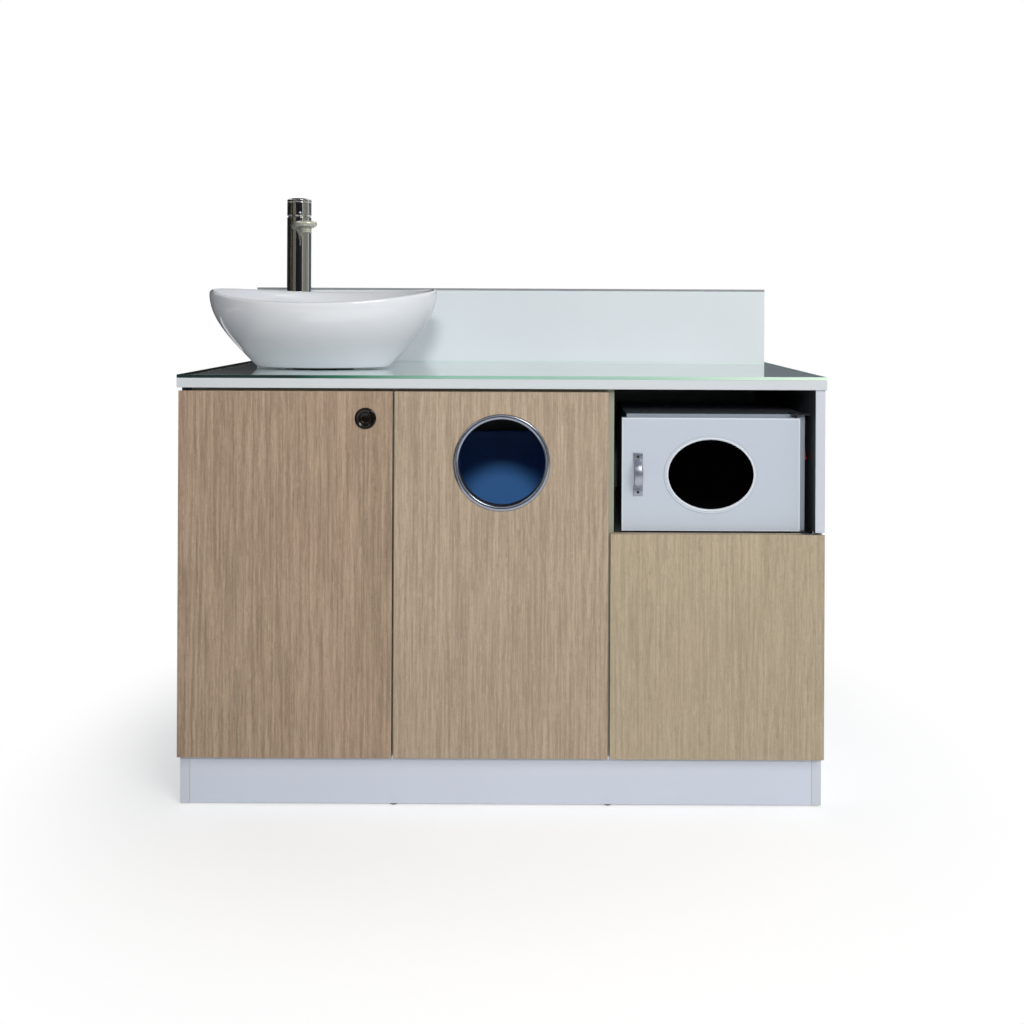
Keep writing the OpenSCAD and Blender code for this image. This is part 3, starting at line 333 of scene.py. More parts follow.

# The two sides are pale outside, at the rear, on the right one's front edge and beside the
# plinth. Everywhere else, mostly the inner faces, they carry charcoal painted shade.
side_board = melamine("side_melamine", (0.60, 0.63, 0.70))
side_at = add(side_board, "SeparateXYZ", {0: place_on(side_board)}).outputs
side_way = add(side_board, "SeparateXYZ",
               {0: add(side_board, "TexCoord").outputs["Normal"]}).outputs
edge_ease = 0.0008
outer_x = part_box("side_right")[1].x - edge_ease
side_out = calc(side_board, "GREATER_THAN", calc(side_board, "ABSOLUTE", side_at["X"]), outer_x)
side_rear = calc(side_board, "GREATER_THAN", side_way["Y"], 0.5)
side_front = calc(side_board, "LESS_THAN", side_way["Y"], -0.5)
on_right = calc(side_board, "GREATER_THAN", side_at["X"], 0.0)
by_plinth = calc(side_board, "LESS_THAN", side_at["Z"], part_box("plinth_board")[1].z)
side_edge = calc(side_board, "MULTIPLY", side_front,
                 calc(side_board, "MAXIMUM", on_right, by_plinth))
side_clear_of_shade = calc(side_board, "MAXIMUM", calc(side_board, "MAXIMUM", side_out, side_rear),
                 side_edge)
side_shader = side_board.node_tree.nodes["Principled BSDF"]
side_white = side_shader.inputs["Base Color"].links[0].from_socket
# Where this mask is off, the charcoal colour is painted shade.
feed(side_board, "Base Color",
     blend(side_board, side_clear_of_shade, (0.045, 0.051, 0.058), side_white))
for board in ("side_left", "side_right"):
    dress(board, side_board, edge_ease)
for board in ("partition_left", "partition_right", "base_panel", "top_rails", "niche_shelf"):
    dress(board, shaded_inside_board, 0.0005)
dress("back_panel", melamine("back_melamine", (0.42, 0.46, 0.45)), 0.0005)
dress("plinth_board", melamine("plinth_melamine", (0.63, 0.675, 0.77)), edge_ease)
glide_nylon = paint("glide_nylon", (0.09, 0.09, 0.09), 0.6)
grainy_bump(glide_nylon, 900, 0.0001)
dress("floor_glides", glide_nylon, 0.0006)

# ---- Fronts ----
# Both doors and the waste front are faced with oak laminate. Its fine grain runs upright, in
# pale and darker streaks with short open pores, and the edges carry a thin band.


def oak(name, pale, dark, seed, spread):
    """Straight-grained oak laminate with drifting bands, fine streaks and pores."""
    made = paint(name, pale, 0.55, Specular_IOR_Level=0.3)
    place = place_on(made)
    sway = add(made, "TexNoise", {"Vector": place, "Scale": 75.0 + seed, "Detail": 2.0})
    swayed = add(made, "VectorMath", {0: sway.outputs["Color"], 1: (0.0026, 0.0026, 0.008),
                 2: place}, operation="MULTIPLY_ADD").outputs[0]

    def streaks(across, along, detail, rough=0.6, turn=0.0):
        """A noise drawn out along the grain, in features per metre across and along it."""
        drawn = add(made, "Mapping", {"Vector": swayed,
                    "Location": (seed * 3.1, seed * 1.7, seed + turn),
                    "Scale": (across, across, along)})
        return noise(made, 1.0, detail, drawn.outputs[0], Roughness=rough, Distortion=0.15)

    def mixed(share, first, second):
        """Two streaky patterns in one."""
        return add(made, "Mix", {0: share, 2: first, 3: second}, data_type="FLOAT").outputs[0]

    def laid_over(under, mask, low, high, share, color):
        """Lays one more colour over the grain where a noise is above a level."""
        return blend(made, ramp(made, mask, low, high, 0.0, share), under, color)

    bands = streaks(22, 1.2, 2.0)
    fine = streaks(200, 5.0, 4.0, 0.7)
    dashes = streaks(430, 22.0, 3.0, 0.65, 4.0)
    pores = streaks(640, 30.0, 2.0, 0.5, 9.0)
    threads = streaks(330, 9.0, 2.0, 0.5, 15.0)
    patches = noise(made, 5.0, 2.0, place)
    flecks = noise(made, 420.0, 2.0, place)
    grain = mixed(0.25, mixed(0.84, bands, fine), dashes)
    wood = blend(made, ramp(made, grain, 0.5 - spread, 0.5 + spread), dark, pale)
    wood = laid_over(wood, threads, 0.60, 0.70, 0.42, [1.16 * c for c in pale])
    wood = laid_over(wood, pores, 0.56, 0.68, 0.40, [0.72 * c for c in dark])
    wood = laid_over(wood, patches, 0.50, 0.66, 0.10,
                     (1.08 * pale[0], 0.97 * pale[1], 1.02 * pale[2]))
    feed(made, "Base Color", toned(made, wood, ramp(made, flecks, 0.3, 0.7, 0.955, 1.045)))
    relief(made, calc(made, "SUBTRACT", dashes, pores), 0.45, 0.0002)
    return made


# One oak, painted darker to the left and lighter to the right: painted shade and painted light.
left_oak = oak("oak_left", (0.45, 0.332, 0.235), (0.275, 0.20, 0.137), 1.0, 0.090)
middle_oak = oak("oak_middle", (0.487, 0.382, 0.279), (0.323, 0.249, 0.177), 4.0, 0.090)
right_oak = oak("oak_right", (0.49, 0.402, 0.284), (0.357, 0.29, 0.199), 7.0, 0.100)
for front, laminate in (("left_door", left_oak), ("waste_front", middle_oak),
                        ("right_door", right_oak)):
    dress(front, laminate, edge_ease)

# ---- Worktop ----
# A white board under a 6 mm sheet of clear float glass with polished green edges. The upstand
# behind it is the same board, in a lighter white that is painted light, with a thin grey metal
# strip along its top.
dress("worktop_board", melamine("worktop_melamine", (0.615, 0.65, 0.675)), 0.0012)
dress("upstand", melamine("upstand_melamine_painted_light", (0.79, 0.85, 0.885)), edge_ease)
strip_metal = paint("strip_metal", (0.45, 0.47, 0.49), 0.36, Metallic=0.35)
grainy_bump(strip_metal, 600, 0.00005)
dress("upstand_trim", strip_metal, 0.0006)

# The sheet's two flat faces mirror by their angle and let the rest through. Its edges are solid
# green, with painted light: dark at the left and bright at the right, where the light enters.
sheet_glass = bpy.data.materials.new("sheet_glass")
sheet_glass.use_nodes = True
sheet_glass.node_tree.nodes.remove(sheet_glass.node_tree.nodes["Principled BSDF"])
clear = add(sheet_glass, "BsdfTransparent", {"Color": (0.99, 1.0, 0.995, 1)})
sheen = add(sheet_glass, "BsdfGlossy", {"Color": (0.98, 1.0, 0.99, 1), "Roughness": 0.015})
from_inside = add(sheet_glass, "NewGeometry").outputs["Backfacing"]
one_face = add(sheet_glass, "Fresnel", {"IOR": 1.5}).outputs[0]
both_faces = calc(sheet_glass, "DIVIDE", calc(sheet_glass, "MULTIPLY", one_face, 2.0),
                  calc(sheet_glass, "ADD", one_face, 1.0))
mirror_share = calc(sheet_glass, "MULTIPLY", both_faces,
                    calc(sheet_glass, "SUBTRACT", 1.0, from_inside))
clear_face = add(sheet_glass, "MixShader", {0: mirror_share, 1: clear.outputs[0],
                 2: sheen.outputs[0]})
glass_x = add(sheet_glass, "SeparateXYZ", {0: place_on(sheet_glass)}).outputs["X"]
glass_left, glass_right = (corner.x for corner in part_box("glass_top"))
# The edge's green runs from dark to bright along X as painted light.
edge_painted_light = add(sheet_glass, "ValToRGB",
                {"Fac": ramp(sheet_glass, glass_x, glass_left, glass_right)})
painted_light_tones = edge_painted_light.color_ramp
painted_light_tones.elements[0].color = (0.016, 0.033, 0.030, 1)
painted_light_tones.elements[1].position = 1.0
painted_light_tones.elements[1].color = (0.79, 0.98, 0.81, 1)
for spot, shade in ((0.18, (0.018, 0.04, 0.034)), (0.26, (0.05, 0.19, 0.12)),
                    (0.42, (0.30, 0.54, 0.43)), (0.7, (0.38, 0.61, 0.50))):
    painted_light_tones.elements.new(spot).color = (*shade, 1)
green = add(sheet_glass, "BsdfDiffuse", {"Color": edge_painted_light.outputs[0]})
green_edge = add(sheet_glass, "MixShader", {0: mirror_share, 1: green.outputs[0],
                 2: sheen.outputs[0]})
facing = add(sheet_glass, "SeparateXYZ",
             {0: add(sheet_glass, "TexCoord").outputs["Normal"]}).outputs["Z"]
flat_part = calc(sheet_glass, "GREATER_THAN", calc(sheet_glass, "ABSOLUTE", facing), 0.5)
surface(sheet_glass, add(sheet_glass, "MixShader", {0: flat_part, 1: green_edge.outputs[0],
        2: clear_face.outputs[0]}))
dress("glass_top", sheet_glass, 0.0004)

# ---- Basin ----
# A boat-shaped vessel of white glazed ceramic: pointed tips, a rim that is low in front and high
# at the back, and an oval foot that stands on a rubber ring on the glass.
basin_low, basin_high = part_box("basin")
basin_mid = (basin_low + basin_high) / 2
rim_width, rim_depth = basin_high.x - basin_low.x, basin_high.y - basin_low.y
foot_width, foot_depth = 0.276, 0.140
front_rim, back_rise, tip_rise = 0.133, 0.024, 0.015
wall = 0.011
lip = wall / 2
floor_up = 0.014
hole_radius, hole_lip = 0.0225, 0.004
tip_sharpness = 0.2


def rim_height(angle):
    """The rim's height over the foot, round the basin from its right tip."""
    return (front_rim + tip_rise * math.cos(angle) ** 2
            + back_rise * (1 + math.sin(angle)) / 2)


def shape_ring(ring, width, depth, share, lift):
    """Sets one ring of the wall: its half sizes, its share of the rim's height, and a lift.

    A ring is an oval at the foot, and its two ends grow more pointed towards the rim.
    """
    bend = 1 + tip_sharpness * share
    for vert, angle in ring:
        side = math.sin(angle)
        vert.co = (width * math.cos(angle),
                   depth * math.copysign(abs(side) ** bend, side),
                   share * rim_height(angle) + lift)


def grow_ring(bm, ring, *sizes):
    """Extrudes the wall's open edge into its next ring."""
    on_ring = {v for v, _ in ring}
    edges = [e for e in {e for v in on_ring for e in v.link_edges}
             if len(e.link_faces) < 2 and on_ring.issuperset(e.verts)]
    grown = bmesh.ops.extrude_edge_only(bm, edges=edges)["geom"]
    angle_at = {tuple(round(c, 7) for c in v.co): angle for v, angle in ring}
    next_ring = [(v, angle_at[tuple(round(c, 7) for c in v.co)]) for v in grown
                 if isinstance(v, bmesh.types.BMVert)]
    shape_ring(next_ring, *sizes)
    return next_ring


# The wall grows in rings: from the drain hole out to the foot, up the outside, over the rolled
# lip, down the inside and back to the hole.
basin_bm = bmesh.new()
bmesh.ops.create_circle(basin_bm, cap_ends=False, segments=96, radius=1)
ring = [(v, math.atan2(v.co.y, v.co.x)) for v in basin_bm.verts]
shape_ring(ring, hole_radius, hole_radius, 0, 0)
for width, depth in ((0.93, 0.90), (0.985, 0.98)):
    ring = grow_ring(basin_bm, ring, foot_width / 2 * width, foot_depth / 2 * depth, 0, 0)
ring = grow_ring(basin_bm, ring, foot_width / 2 + 0.0015, foot_depth / 2 + 0.001, 0, 0.003)
wall_rings = 11
for step in range(1, wall_rings + 1):
    share = step / wall_rings
    flare = math.sin(math.radians(90 * share)) ** 1.07
    ring = grow_ring(basin_bm, ring, (foot_width + (rim_width - foot_width) * flare) / 2,
                     (foot_depth + (rim_depth - foot_depth) * flare) / 2, share, -lip * share)
for turn in (45, 90, 135):
    inset = lip * (1 - math.cos(math.radians(turn)))
    ring = grow_ring(basin_bm, ring, rim_width / 2 - inset, rim_depth / 2 - inset, 1,
                     lip * math.sin(math.radians(turn)) - lip)
inside_foot = 0.55
low_width, low_depth = inside_foot * foot_width / 2, inside_foot * foot_depth / 2
for step in range(wall_rings + 1):
    share = 1 - step / wall_rings
    flare = 0.55 * math.sin(math.radians(90 * share)) ** 1.2 + 0.45 * share ** 0.8
    ring = grow_ring(basin_bm, ring, low_width + (rim_width / 2 - wall - low_width) * flare,
                     low_depth + (rim_depth / 2 - wall - low_depth) * flare, share,
                     floor_up * (1 - share) - lip * share)
for radius, drop in ((hole_radius + hole_lip, 0.0005), (hole_radius, 0.002)):
    ring = grow_ring(basin_bm, ring, radius, radius, 0, floor_up - drop)
bmesh.ops.bridge_loops(basin_bm, edges=[e for e in basin_bm.edges if e.is_boundary])
bmesh.ops.remove_doubles(basin_bm, verts=basin_bm.verts, dist=0.00001)
bmesh.ops.recalc_face_normals(basin_bm, faces=basin_bm.faces)
bmesh.ops.translate(basin_bm, vec=(basin_mid.x, basin_mid.y, basin_low.z), verts=basin_bm.verts)
for f in basin_bm.faces:
    f.smooth = True

# Thick white glaze with slow waves. Painted light makes it paler just over the foot, and painted
# shade makes it greyer at the left tip.
glaze_grey = (0.74, 0.76, 0.79)
glaze = paint("white_glaze_painted_shading", glaze_grey, 0.09, Specular_IOR_Level=0.5, Coat_Weight=0.3,
              Coat_Roughness=0.04)
relief(glaze, noise(glaze, 14.0, 1.0), 0.25, 0.0012)
glaze_at = add(glaze, "SeparateXYZ", {0: place_on(glaze)}).outputs
above_painted_light = ramp(glaze, glaze_at["Z"], basin_low.z, basin_low.z + 0.055)
left_tip_painted_shade = ramp(glaze, glaze_at["X"], basin_low.x + 0.15, basin_low.x + 0.03, 0.0, 0.8)
glaze_painted_light = blend(glaze, above_painted_light, (0.87, 0.93, 0.97), glaze_grey)
feed(glaze, "Base Color", blend(glaze, left_tip_painted_shade, glaze_painted_light, (0.80, 0.80, 0.82), "MULTIPLY"))
basin = piece("vessel_basin", basin_bm, glaze, "cabinet")
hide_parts("basin")
smoothing = basin.modifiers.new("smooth", "SUBSURF")
smoothing.levels = smoothing.render_levels = 1

black_rubber = paint("black_rubber", (0.02, 0.02, 0.02), 0.75)
grainy_bump(black_rubber, 700, 0.0001)
dress("basin_gasket", black_rubber)

# ---- Tap ----
# A tall chromed column on a thin foot ring, a flat round-ended spout just under its turning cap,
# and an aerator under the spout. An enamel dot on the cap is its index mark.


def turned(profile, steps=96):
    """Spins a profile of (radius, height) points into a closed round body about +Z."""
    bm = bmesh.new()
    points = [bm.verts.new((r, 0, z)) for r, z in profile]
    edges = [bm.edges.new(pair) for pair in zip(points, points[1:])]
    bmesh.ops.spin(bm, geom=points + edges, cent=(0, 0, 0), axis=(0, 0, 1),
                   angle=math.radians(360), steps=steps, use_merge=True)
    bmesh.ops.remove_doubles(bm, verts=bm.verts, dist=0.000005)
    bmesh.ops.dissolve_degenerate(bm, edges=bm.edges, dist=0.000001)
    bmesh.ops.recalc_face_normals(bm, faces=bm.faces)
    crease(bm)
    return bm


def crease(bm, limit=32):
    """Smooth faces with sharp edges where the surface turns by more than the limit."""
    for f in bm.faces:
        f.smooth = True
    for e in bm.edges:
        e.smooth = len(e.link_faces) == 2 and e.calc_face_angle(0) < math.radians(limit)


def rounded_corners(points, radius, steps=3):
    """A profile with its inner corners rounded: each corner becomes a short arc of points."""
    out = [points[0]]
    for before, here, after in zip(points, points[1:], points[2:]):
        here, a, b = Vector(here), Vector(before), Vector(after)
        r = min(radius, (a - here).length / 2, (b - here).length / 2)
        start = here + (a - here).normalized() * r
        end = here + (b - here).normalized() * r
        for k in range(steps + 1):
            t = k / steps
            out.append(tuple((1 - t) ** 2 * start + 2 * t * (1 - t) * here + t ** 2 * end))
    return out + [points[-1]]


tap_low, tap_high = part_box("tap_body")
tap_x, tap_y = (tap_low.x + tap_high.x) / 2, (tap_low.y + tap_high.y) / 2
glass_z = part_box("glass_top")[1].z
cap_low, cap_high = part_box("tap_cap")
column_radius, shank_radius, flange_radius = 0.027, 0.016, 0.030
flange_z = glass_z + 0.003

chrome = paint("tap_chrome", (0.62, 0.62, 0.60), 0.06, Metallic=1.0)
feed(chrome, "Roughness", ramp(chrome, noise(chrome, 60.0, 4.0), 0, 1, 0.04, 0.11))

column = turned(rounded_corners([
    (0, tap_low.z), (shank_radius, tap_low.z), (shank_radius, glass_z),
    (flange_radius, glass_z), (flange_radius, flange_z - 0.0008),
    (flange_radius - 0.001, flange_z), (column_radius, flange_z),
    (column_radius, tap_high.z), (0, tap_high.z)], 0.0008))
bmesh.ops.translate(column, vec=(tap_x, tap_y, 0), verts=column.verts)
column = piece("tap_column", column, chrome, "cabinet")
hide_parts("tap_body")

groove = 0.0008
groove_z = cap_high.z - 0.008
cap = turned(rounded_corners([
    (0, cap_low.z), (0.0250, cap_low.z), (0.0253, cap_low.z + 0.0020),
    (column_radius, cap_low.z + 0.0030), (column_radius, groove_z - 0.001),
    (column_radius - groove, groove_z - 0.0005), (column_radius - groove, groove_z + 0.0005),
    (column_radius, groove_z + 0.001), (column_radius, cap_high.z - 0.003),
    (column_radius - 0.003, cap_high.z), (0.012, cap_high.z), (0.011, cap_high.z - 0.0006),
    (0, cap_high.z - 0.0006)], 0.0006))
bmesh.ops.translate(cap, vec=(tap_x, tap_y, 0), verts=cap.verts)
cap = piece("turning_cap", cap, chrome, "tap_handle")
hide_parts("tap_cap")

index_turn = math.radians(-90 + 18)
index = turned([(0, -0.001), (0.0022, -0.001), (0.0022, 0.0001), (0.0016, 0.0003),
                (0, 0.0003)], 24)
bmesh.ops.rotate(index, matrix=Matrix.Rotation(math.radians(90), 3, "Y"), verts=index.verts)
bmesh.ops.translate(index, vec=(column_radius, 0, cap_low.z + 0.008), verts=index.verts)
bmesh.ops.rotate(index, matrix=Matrix.Rotation(index_turn, 3, "Z"), verts=index.verts)
bmesh.ops.translate(index, vec=(tap_x, tap_y, 0), verts=index.verts)
enamel = paint("index_enamel", (0.66, 0.72, 0.86), 0.2)
grainy_bump(enamel, 1500, 0.00002)
piece("index_dot", index, enamel, "tap_handle")

# The spout is cut as a round plate. Its back half becomes the straight, slightly narrower root
# that ends inside the column.
spout_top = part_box("tap_spout")[1].z - 0.0015
spout_turn = math.radians(-90 + 22)
spout_reach, spout_radius, root_radius, root_inside = 0.107, 0.023, 0.0193, 0.012
blade, blade_rounding = 0.012, 0.0052
spout = bmesh.new()
bmesh.ops.create_circle(spout, cap_ends=True, segments=64, radius=spout_radius)
for v in spout.verts:
    if v.co.x < -0.0001:
        v.co.x = -spout_reach + root_inside
        v.co.y *= root_radius / spout_radius
bmesh.ops.remove_doubles(spout, verts=spout.verts, dist=0.00001)
bmesh.ops.dissolve_limit(spout, angle_limit=math.radians(0.2), verts=spout.verts,
                         edges=spout.edges)
raised = bmesh.ops.extrude_face_region(spout, geom=spout.faces[:])["geom"]
bmesh.ops.translate(spout, vec=(0, 0, blade),
                    verts=[g for g in raised if isinstance(g, bmesh.types.BMVert)])
bmesh.ops.recalc_face_normals(spout, faces=spout.faces)
outline = [e for e in spout.edges if e.calc_face_angle(0) > math.radians(60)
           and abs(e.verts[0].co.z - e.verts[1].co.z) < 0.001]
bmesh.ops.bevel(spout, geom=outline, offset=blade_rounding, segments=6, profile=0.5,
                affect="EDGES", material=-1)
crease(spout)
bmesh.ops.translate(spout, vec=(spout_reach, 0, spout_top - blade), verts=spout.verts)
bmesh.ops.rotate(spout, matrix=Matrix.Rotation(spout_turn, 3, "Z"), verts=spout.verts)
bmesh.ops.translate(spout, vec=(tap_x, tap_y, 0), verts=spout.verts)
# The satin finish is real; its cream tint is a painted reflection of the basin.
satin = paint("satin_chrome_painted_reflection", (0.61, 0.61, 0.51), 0.3, Metallic=0.45)
grainy_bump(satin, 900, 0.00003)
spout = piece("tap_tongue", spout, satin, "cabinet")
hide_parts("tap_spout")
dress("tap_aerator", satin, 0.0006)

# Turned brass parts hold the tap under the worktop and the drain under the basin.
brass = paint("turned_brass", (0.62, 0.45, 0.19), 0.28, Metallic=1.0)
grainy_bump(brass, 500, 0.00004)
dress("tap_cartridge", brass)
dress("tap_nut", brass, 0.0008)
dress("waste_nut", brass, 0.0008)
dress("waste_flange", chrome, 0.0004)

# ---- Push knob ----
# A bronzed rosette with a dished face, and the button that pops out of it. The black housing
# goes through the door.
bronze = paint("black_bronze", (0.007, 0.005, 0.003), 0.14, Specular_IOR_Level=0.35)
grainy_bump(bronze, 220, 0.00003)
rosette_low, rosette_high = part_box("knob_rosette")
knob_mid = (rosette_low + rosette_high) / 2
rosette_radius = (rosette_high.x - rosette_low.x) / 2
proud = rosette_high.y - rosette_low.y
button_radius, button_gap = 0.012, 0.0001
bore_radius = button_radius + button_gap


def face_front(bm, centre_x, face_y, centre_z):
    """Turns a body spun about +Z so that its top faces -Y, and sets it in place."""
    bmesh.ops.rotate(bm, matrix=Matrix.Rotation(math.radians(90), 3, "X"), verts=bm.verts)
    bmesh.ops.translate(bm, vec=(centre_x, face_y, centre_z), verts=bm.verts)
    return bm


rosette = face_front(turned(rounded_corners([
    (bore_radius, 0), (bore_radius, proud - 0.0024), (0.0161, proud - 0.0001), (0.0180, proud),
    (rosette_radius - 0.0006, proud - 0.0009), (rosette_radius, 0)], 0.0004)),
    knob_mid.x, rosette_high.y, knob_mid.z)
bmesh.ops.bridge_loops(rosette, edges=[e for e in rosette.edges if e.is_boundary])
rosette = piece("rosette", rosette, bronze, "left_door_leaf")
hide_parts("knob_rosette")
button_low, button_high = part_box("knob_button")
button_depth = button_high.y - button_low.y
button = face_front(turned(rounded_corners([
    (0, 0), (button_radius, 0), (button_radius, button_depth - 0.0014),
    (0.0108, button_depth), (0.0088, button_depth - 0.0003), (0.0078, button_depth - 0.0010),
    (0, button_depth - 0.0013)], 0.0006)), knob_mid.x, button_high.y, knob_mid.z)
button = piece("knob_disc", button, bronze, "knob")
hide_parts("knob_button")
black_plastic = paint("black_plastic", (0.018, 0.018, 0.019), 0.42)
grainy_bump(black_plastic, 900, 0.00008)
dress("knob_housing", black_plastic, 0.0004)

# ---- Waste unit ----
# A spun steel ring lines the hole in the middle front. Behind it stands a blue moulded bin in a
# folded steel tray, which rides out on three-section runners.
ring_low, ring_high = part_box("waste_ring")
ring_mid = (ring_low + ring_high) / 2
ring_outer = (ring_high.x - ring_low.x) / 2
front_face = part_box("waste_front")[0].y
ring_rise, ring_back = front_face - ring_low.y, ring_high.y - front_face
bore, sleeve_wall = 0.080, 0.002
roll_half_w, roll_rise = 0.005, 0.0035
roll_foot = ring_rise - roll_rise
ring_profile = [(bore, -ring_back), (bore, roll_foot)]
for turn in range(0, 181, 20):
    swing = math.radians(turn)
    ring_profile.append((bore + roll_half_w * (1 - math.cos(swing)),
                         roll_foot + roll_rise * math.sin(swing)))
ring_profile += [(ring_outer, 0), (bore + sleeve_wall, 0), (bore + sleeve_wall, -ring_back),
                 (bore, -ring_back)]
steel_ring = paint("spun_steel", (0.33, 0.36, 0.43), 0.22, Metallic=0.9)
spun_lines = add(steel_ring, "Mapping", {"Vector": place_on(steel_ring),
                 "Scale": (200, 1200, 200)})
relief(steel_ring, noise(steel_ring, 1.0, 2.0, spun_lines.outputs[0]), 0.2, 0.00003)
collar = face_front(turned(ring_profile, 128), ring_mid.x, front_face, ring_mid.z)
collar = piece("ring_collar", collar, steel_ring, "waste_unit")
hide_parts("waste_ring")

bin_blue = paint("bin_blue", (0.09, 0.28, 0.70), 0.42)
grainy_bump(bin_blue, 500, 0.00012)
dress("waste_bin", bin_blue, 0.001)
zinc = paint("zinc_steel", (0.60, 0.61, 0.63), 0.36, Metallic=0.9)
spangle = add(zinc, "TexVoronoi", {"Vector": place_on(zinc), "Scale": 130.0})
feed(zinc, "Roughness", ramp(zinc, spangle.outputs["Distance"], 0, 1, 0.28, 0.46))
for part in ("bin_carriage", "runner_rails", "runner_middles", "runner_slides"):
    dress(part, zinc, 0.0003)

# ---- Door fittings ----
# The doors swing on pivot brackets of zinc plated steel. White plastic catches under the boards
# above them hold the plated strike plates of the closed doors.
for part in ("pivot_brackets", "left_catch_plate", "right_catch_plate"):
    dress(part, zinc, 0.0003)
white_plastic = paint("white_plastic", (0.74, 0.75, 0.75), 0.38)
grainy_bump(white_plastic, 400, 0.0001)
dress("door_catches", white_plastic, 0.0004)

# ---- Plumbing and containers ----
# White moulded trap and pipes, milky blow-moulded water containers with level marks and ribbed
# blue caps, and the pump on its riser pipe in the fresh water.
for part in ("bottle_trap", "trap_cup", "waste_pipe", "riser_pipe"):
    dress(part, white_plastic, 0.0004)
milky = paint("milky_plastic", (0.72, 0.76, 0.78), 0.33, Subsurface_Weight=0.25,
              Subsurface_Scale=0.01)
grainy_bump(milky, 260, 0.0002)
mark_gap, mark_line, mark_inset = 0.035, 0.0012, 0.030
for part in ("waste_container", "fresh_container"):
    dress(part, milky, 0.002)
    can_low, can_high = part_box(part)
    marks = bmesh.new()
    for step in range(1, 8):
        mark_w = 0.020 if step % 2 == 0 else 0.012
        mark = bmesh.ops.create_cube(marks, size=1)["verts"]
        bmesh.ops.scale(marks, vec=(mark_w, mark_line, mark_line), verts=mark)
        bmesh.ops.translate(marks, vec=(can_high.x - mark_inset - mark_w / 2, can_low.y,
                            can_low.z + mark_gap * step), verts=mark)
    piece(part + "_level_marks", marks, milky, "cabinet")
cap_blue = paint("cap_blue", (0.03, 0.10, 0.30), 0.36)
grainy_bump(cap_blue, 600, 0.0001)
dress("container_caps", cap_blue, 0.0005)
dress("supply_pump", cap_blue, 0.0008)

# ---- Steriliser ----
# A small cabinet of white powder-coated steel stands in the niche on rubber feet. Its door is a
# shallow pan folded from sheet, on black hinges at the right, and a red rocker sits in its side.
# The door's folded edges are painted paler than its face: a painted highlight.
front_white, fold_painted_highlight = (0.52, 0.575, 0.65), (0.66, 0.72, 0.80)
powder = paint("powder_white_painted_highlight", front_white, 0.34)
grainy_bump(powder, 1600, 0.00010)
leaf_low, leaf_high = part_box("steriliser_door")
leaf_mid, leaf_half = (leaf_low + leaf_high) / 2, (leaf_high - leaf_low) / 2
fold_width = 0.0022
leaf_at = add(powder, "VectorMath", {0: place_on(powder), 1: tuple(leaf_mid)},
              operation="SUBTRACT")
leaf_away = add(powder, "SeparateXYZ", {0: add(powder, "VectorMath", {0: leaf_at.outputs[0]},
                operation="ABSOLUTE").outputs[0]}).outputs
on_painted_highlight = calc(powder, "MAXIMUM",
               calc(powder, "GREATER_THAN", leaf_away["X"], leaf_half.x - fold_width),
               calc(powder, "GREATER_THAN", leaf_away["Z"], leaf_half.z - fold_width))
feed(powder, "Base Color", blend(powder, on_painted_highlight, front_white, fold_painted_highlight))
dress("steriliser_door", powder, 0.0007)

# Behind its front edge the casing is painted much darker: painted shade in the niche.
shell_front, shell_painted_shade = (0.30, 0.34, 0.40), (0.085, 0.10, 0.12)
shell = paint("shell_enamel_painted_shade", shell_front, 0.4)
grainy_bump(shell, 1600, 0.0001)
case_low, case_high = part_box("steriliser_casing")
shell_y = add(shell, "SeparateXYZ", {0: place_on(shell)}).outputs["Y"]
shaded_behind_edge = calc(shell, "GREATER_THAN", shell_y, case_low.y + 0.0012)
feed(shell, "Base Color", blend(shell, shaded_behind_edge, shell_front, shell_painted_shade))
dress("steriliser_casing", shell, 0.0007)
dress("steriliser_feet", black_rubber, 0.0006)
dress("steriliser_rack", zinc, 0.0003)
for part in ("switch_bezel", "cord_gland", "steriliser_hinges"):
    dress(part, black_plastic, 0.0005)
lamp_glass = paint("lamp_glass", (0.80, 0.83, 0.88), 0.12, Coat_Weight=0.5)
grainy_bump(lamp_glass, 40, 0.00005)
dress("uv_lamp", lamp_glass, 0.001)
switch_red = paint("switch_red", (0.50, 0.012, 0.010), 0.25)
grainy_bump(switch_red, 900, 0.00004)
dress("rocker", switch_red, 0.0005)

# ---- Steriliser window ----
# A dark acrylic pane behind an oval opening. A rim pressed into the door's sheet surrounds it,
# and a white plastic beading holds the pane inside the rim.
rim_low, rim_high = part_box("window_rim")
rim_mid = (rim_low + rim_high) / 2
rim_half_w, rim_half_h = (rim_high.x - rim_low.x) / 2, (rim_high.z - rim_low.z) / 2
rim_rise = rim_high.y - rim_low.y


def oval_ring(profile):
    """A ring round the window, from insets and heights across its section."""
    ring_bm = turned([(rim_half_w - inset, rim_rise * height) for inset, height in profile], 128)
    bmesh.ops.bridge_loops(ring_bm, edges=[e for e in ring_bm.edges if e.is_boundary])
    bmesh.ops.scale(ring_bm, vec=(1, rim_half_h / rim_half_w, 1), verts=ring_bm.verts)
    return face_front(ring_bm, rim_mid.x, rim_high.y, rim_mid.z)


pressed_rim = piece("pressed_rim", oval_ring((
    (0, 0), (0.0003, 0.7), (0.0007, 1.0), (0.0014, 0.9), (0.0032, 0.25), (0.0046, 0.15),
    (0.0046, 0))), powder, "steriliser_leaf")
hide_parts("window_rim")
beading_white = paint("white_beading", (0.72, 0.76, 0.80), 0.3)
grainy_bump(beading_white, 900, 0.00003)
piece("window_beading", oval_ring((
    (0.0046, 0), (0.0047, 0.6), (0.0055, 0.95), (0.0063, 1.0), (0.0072, 0.9), (0.0080, 0.5),
    (0.0082, 0))), beading_white, "steriliser_leaf")
pane = paint("dark_acrylic", (0.0004, 0.0004, 0.0005), 0.06, Specular_IOR_Level=0.02)
grainy_bump(pane, 30, 0.00004)
dress("door_window", pane)

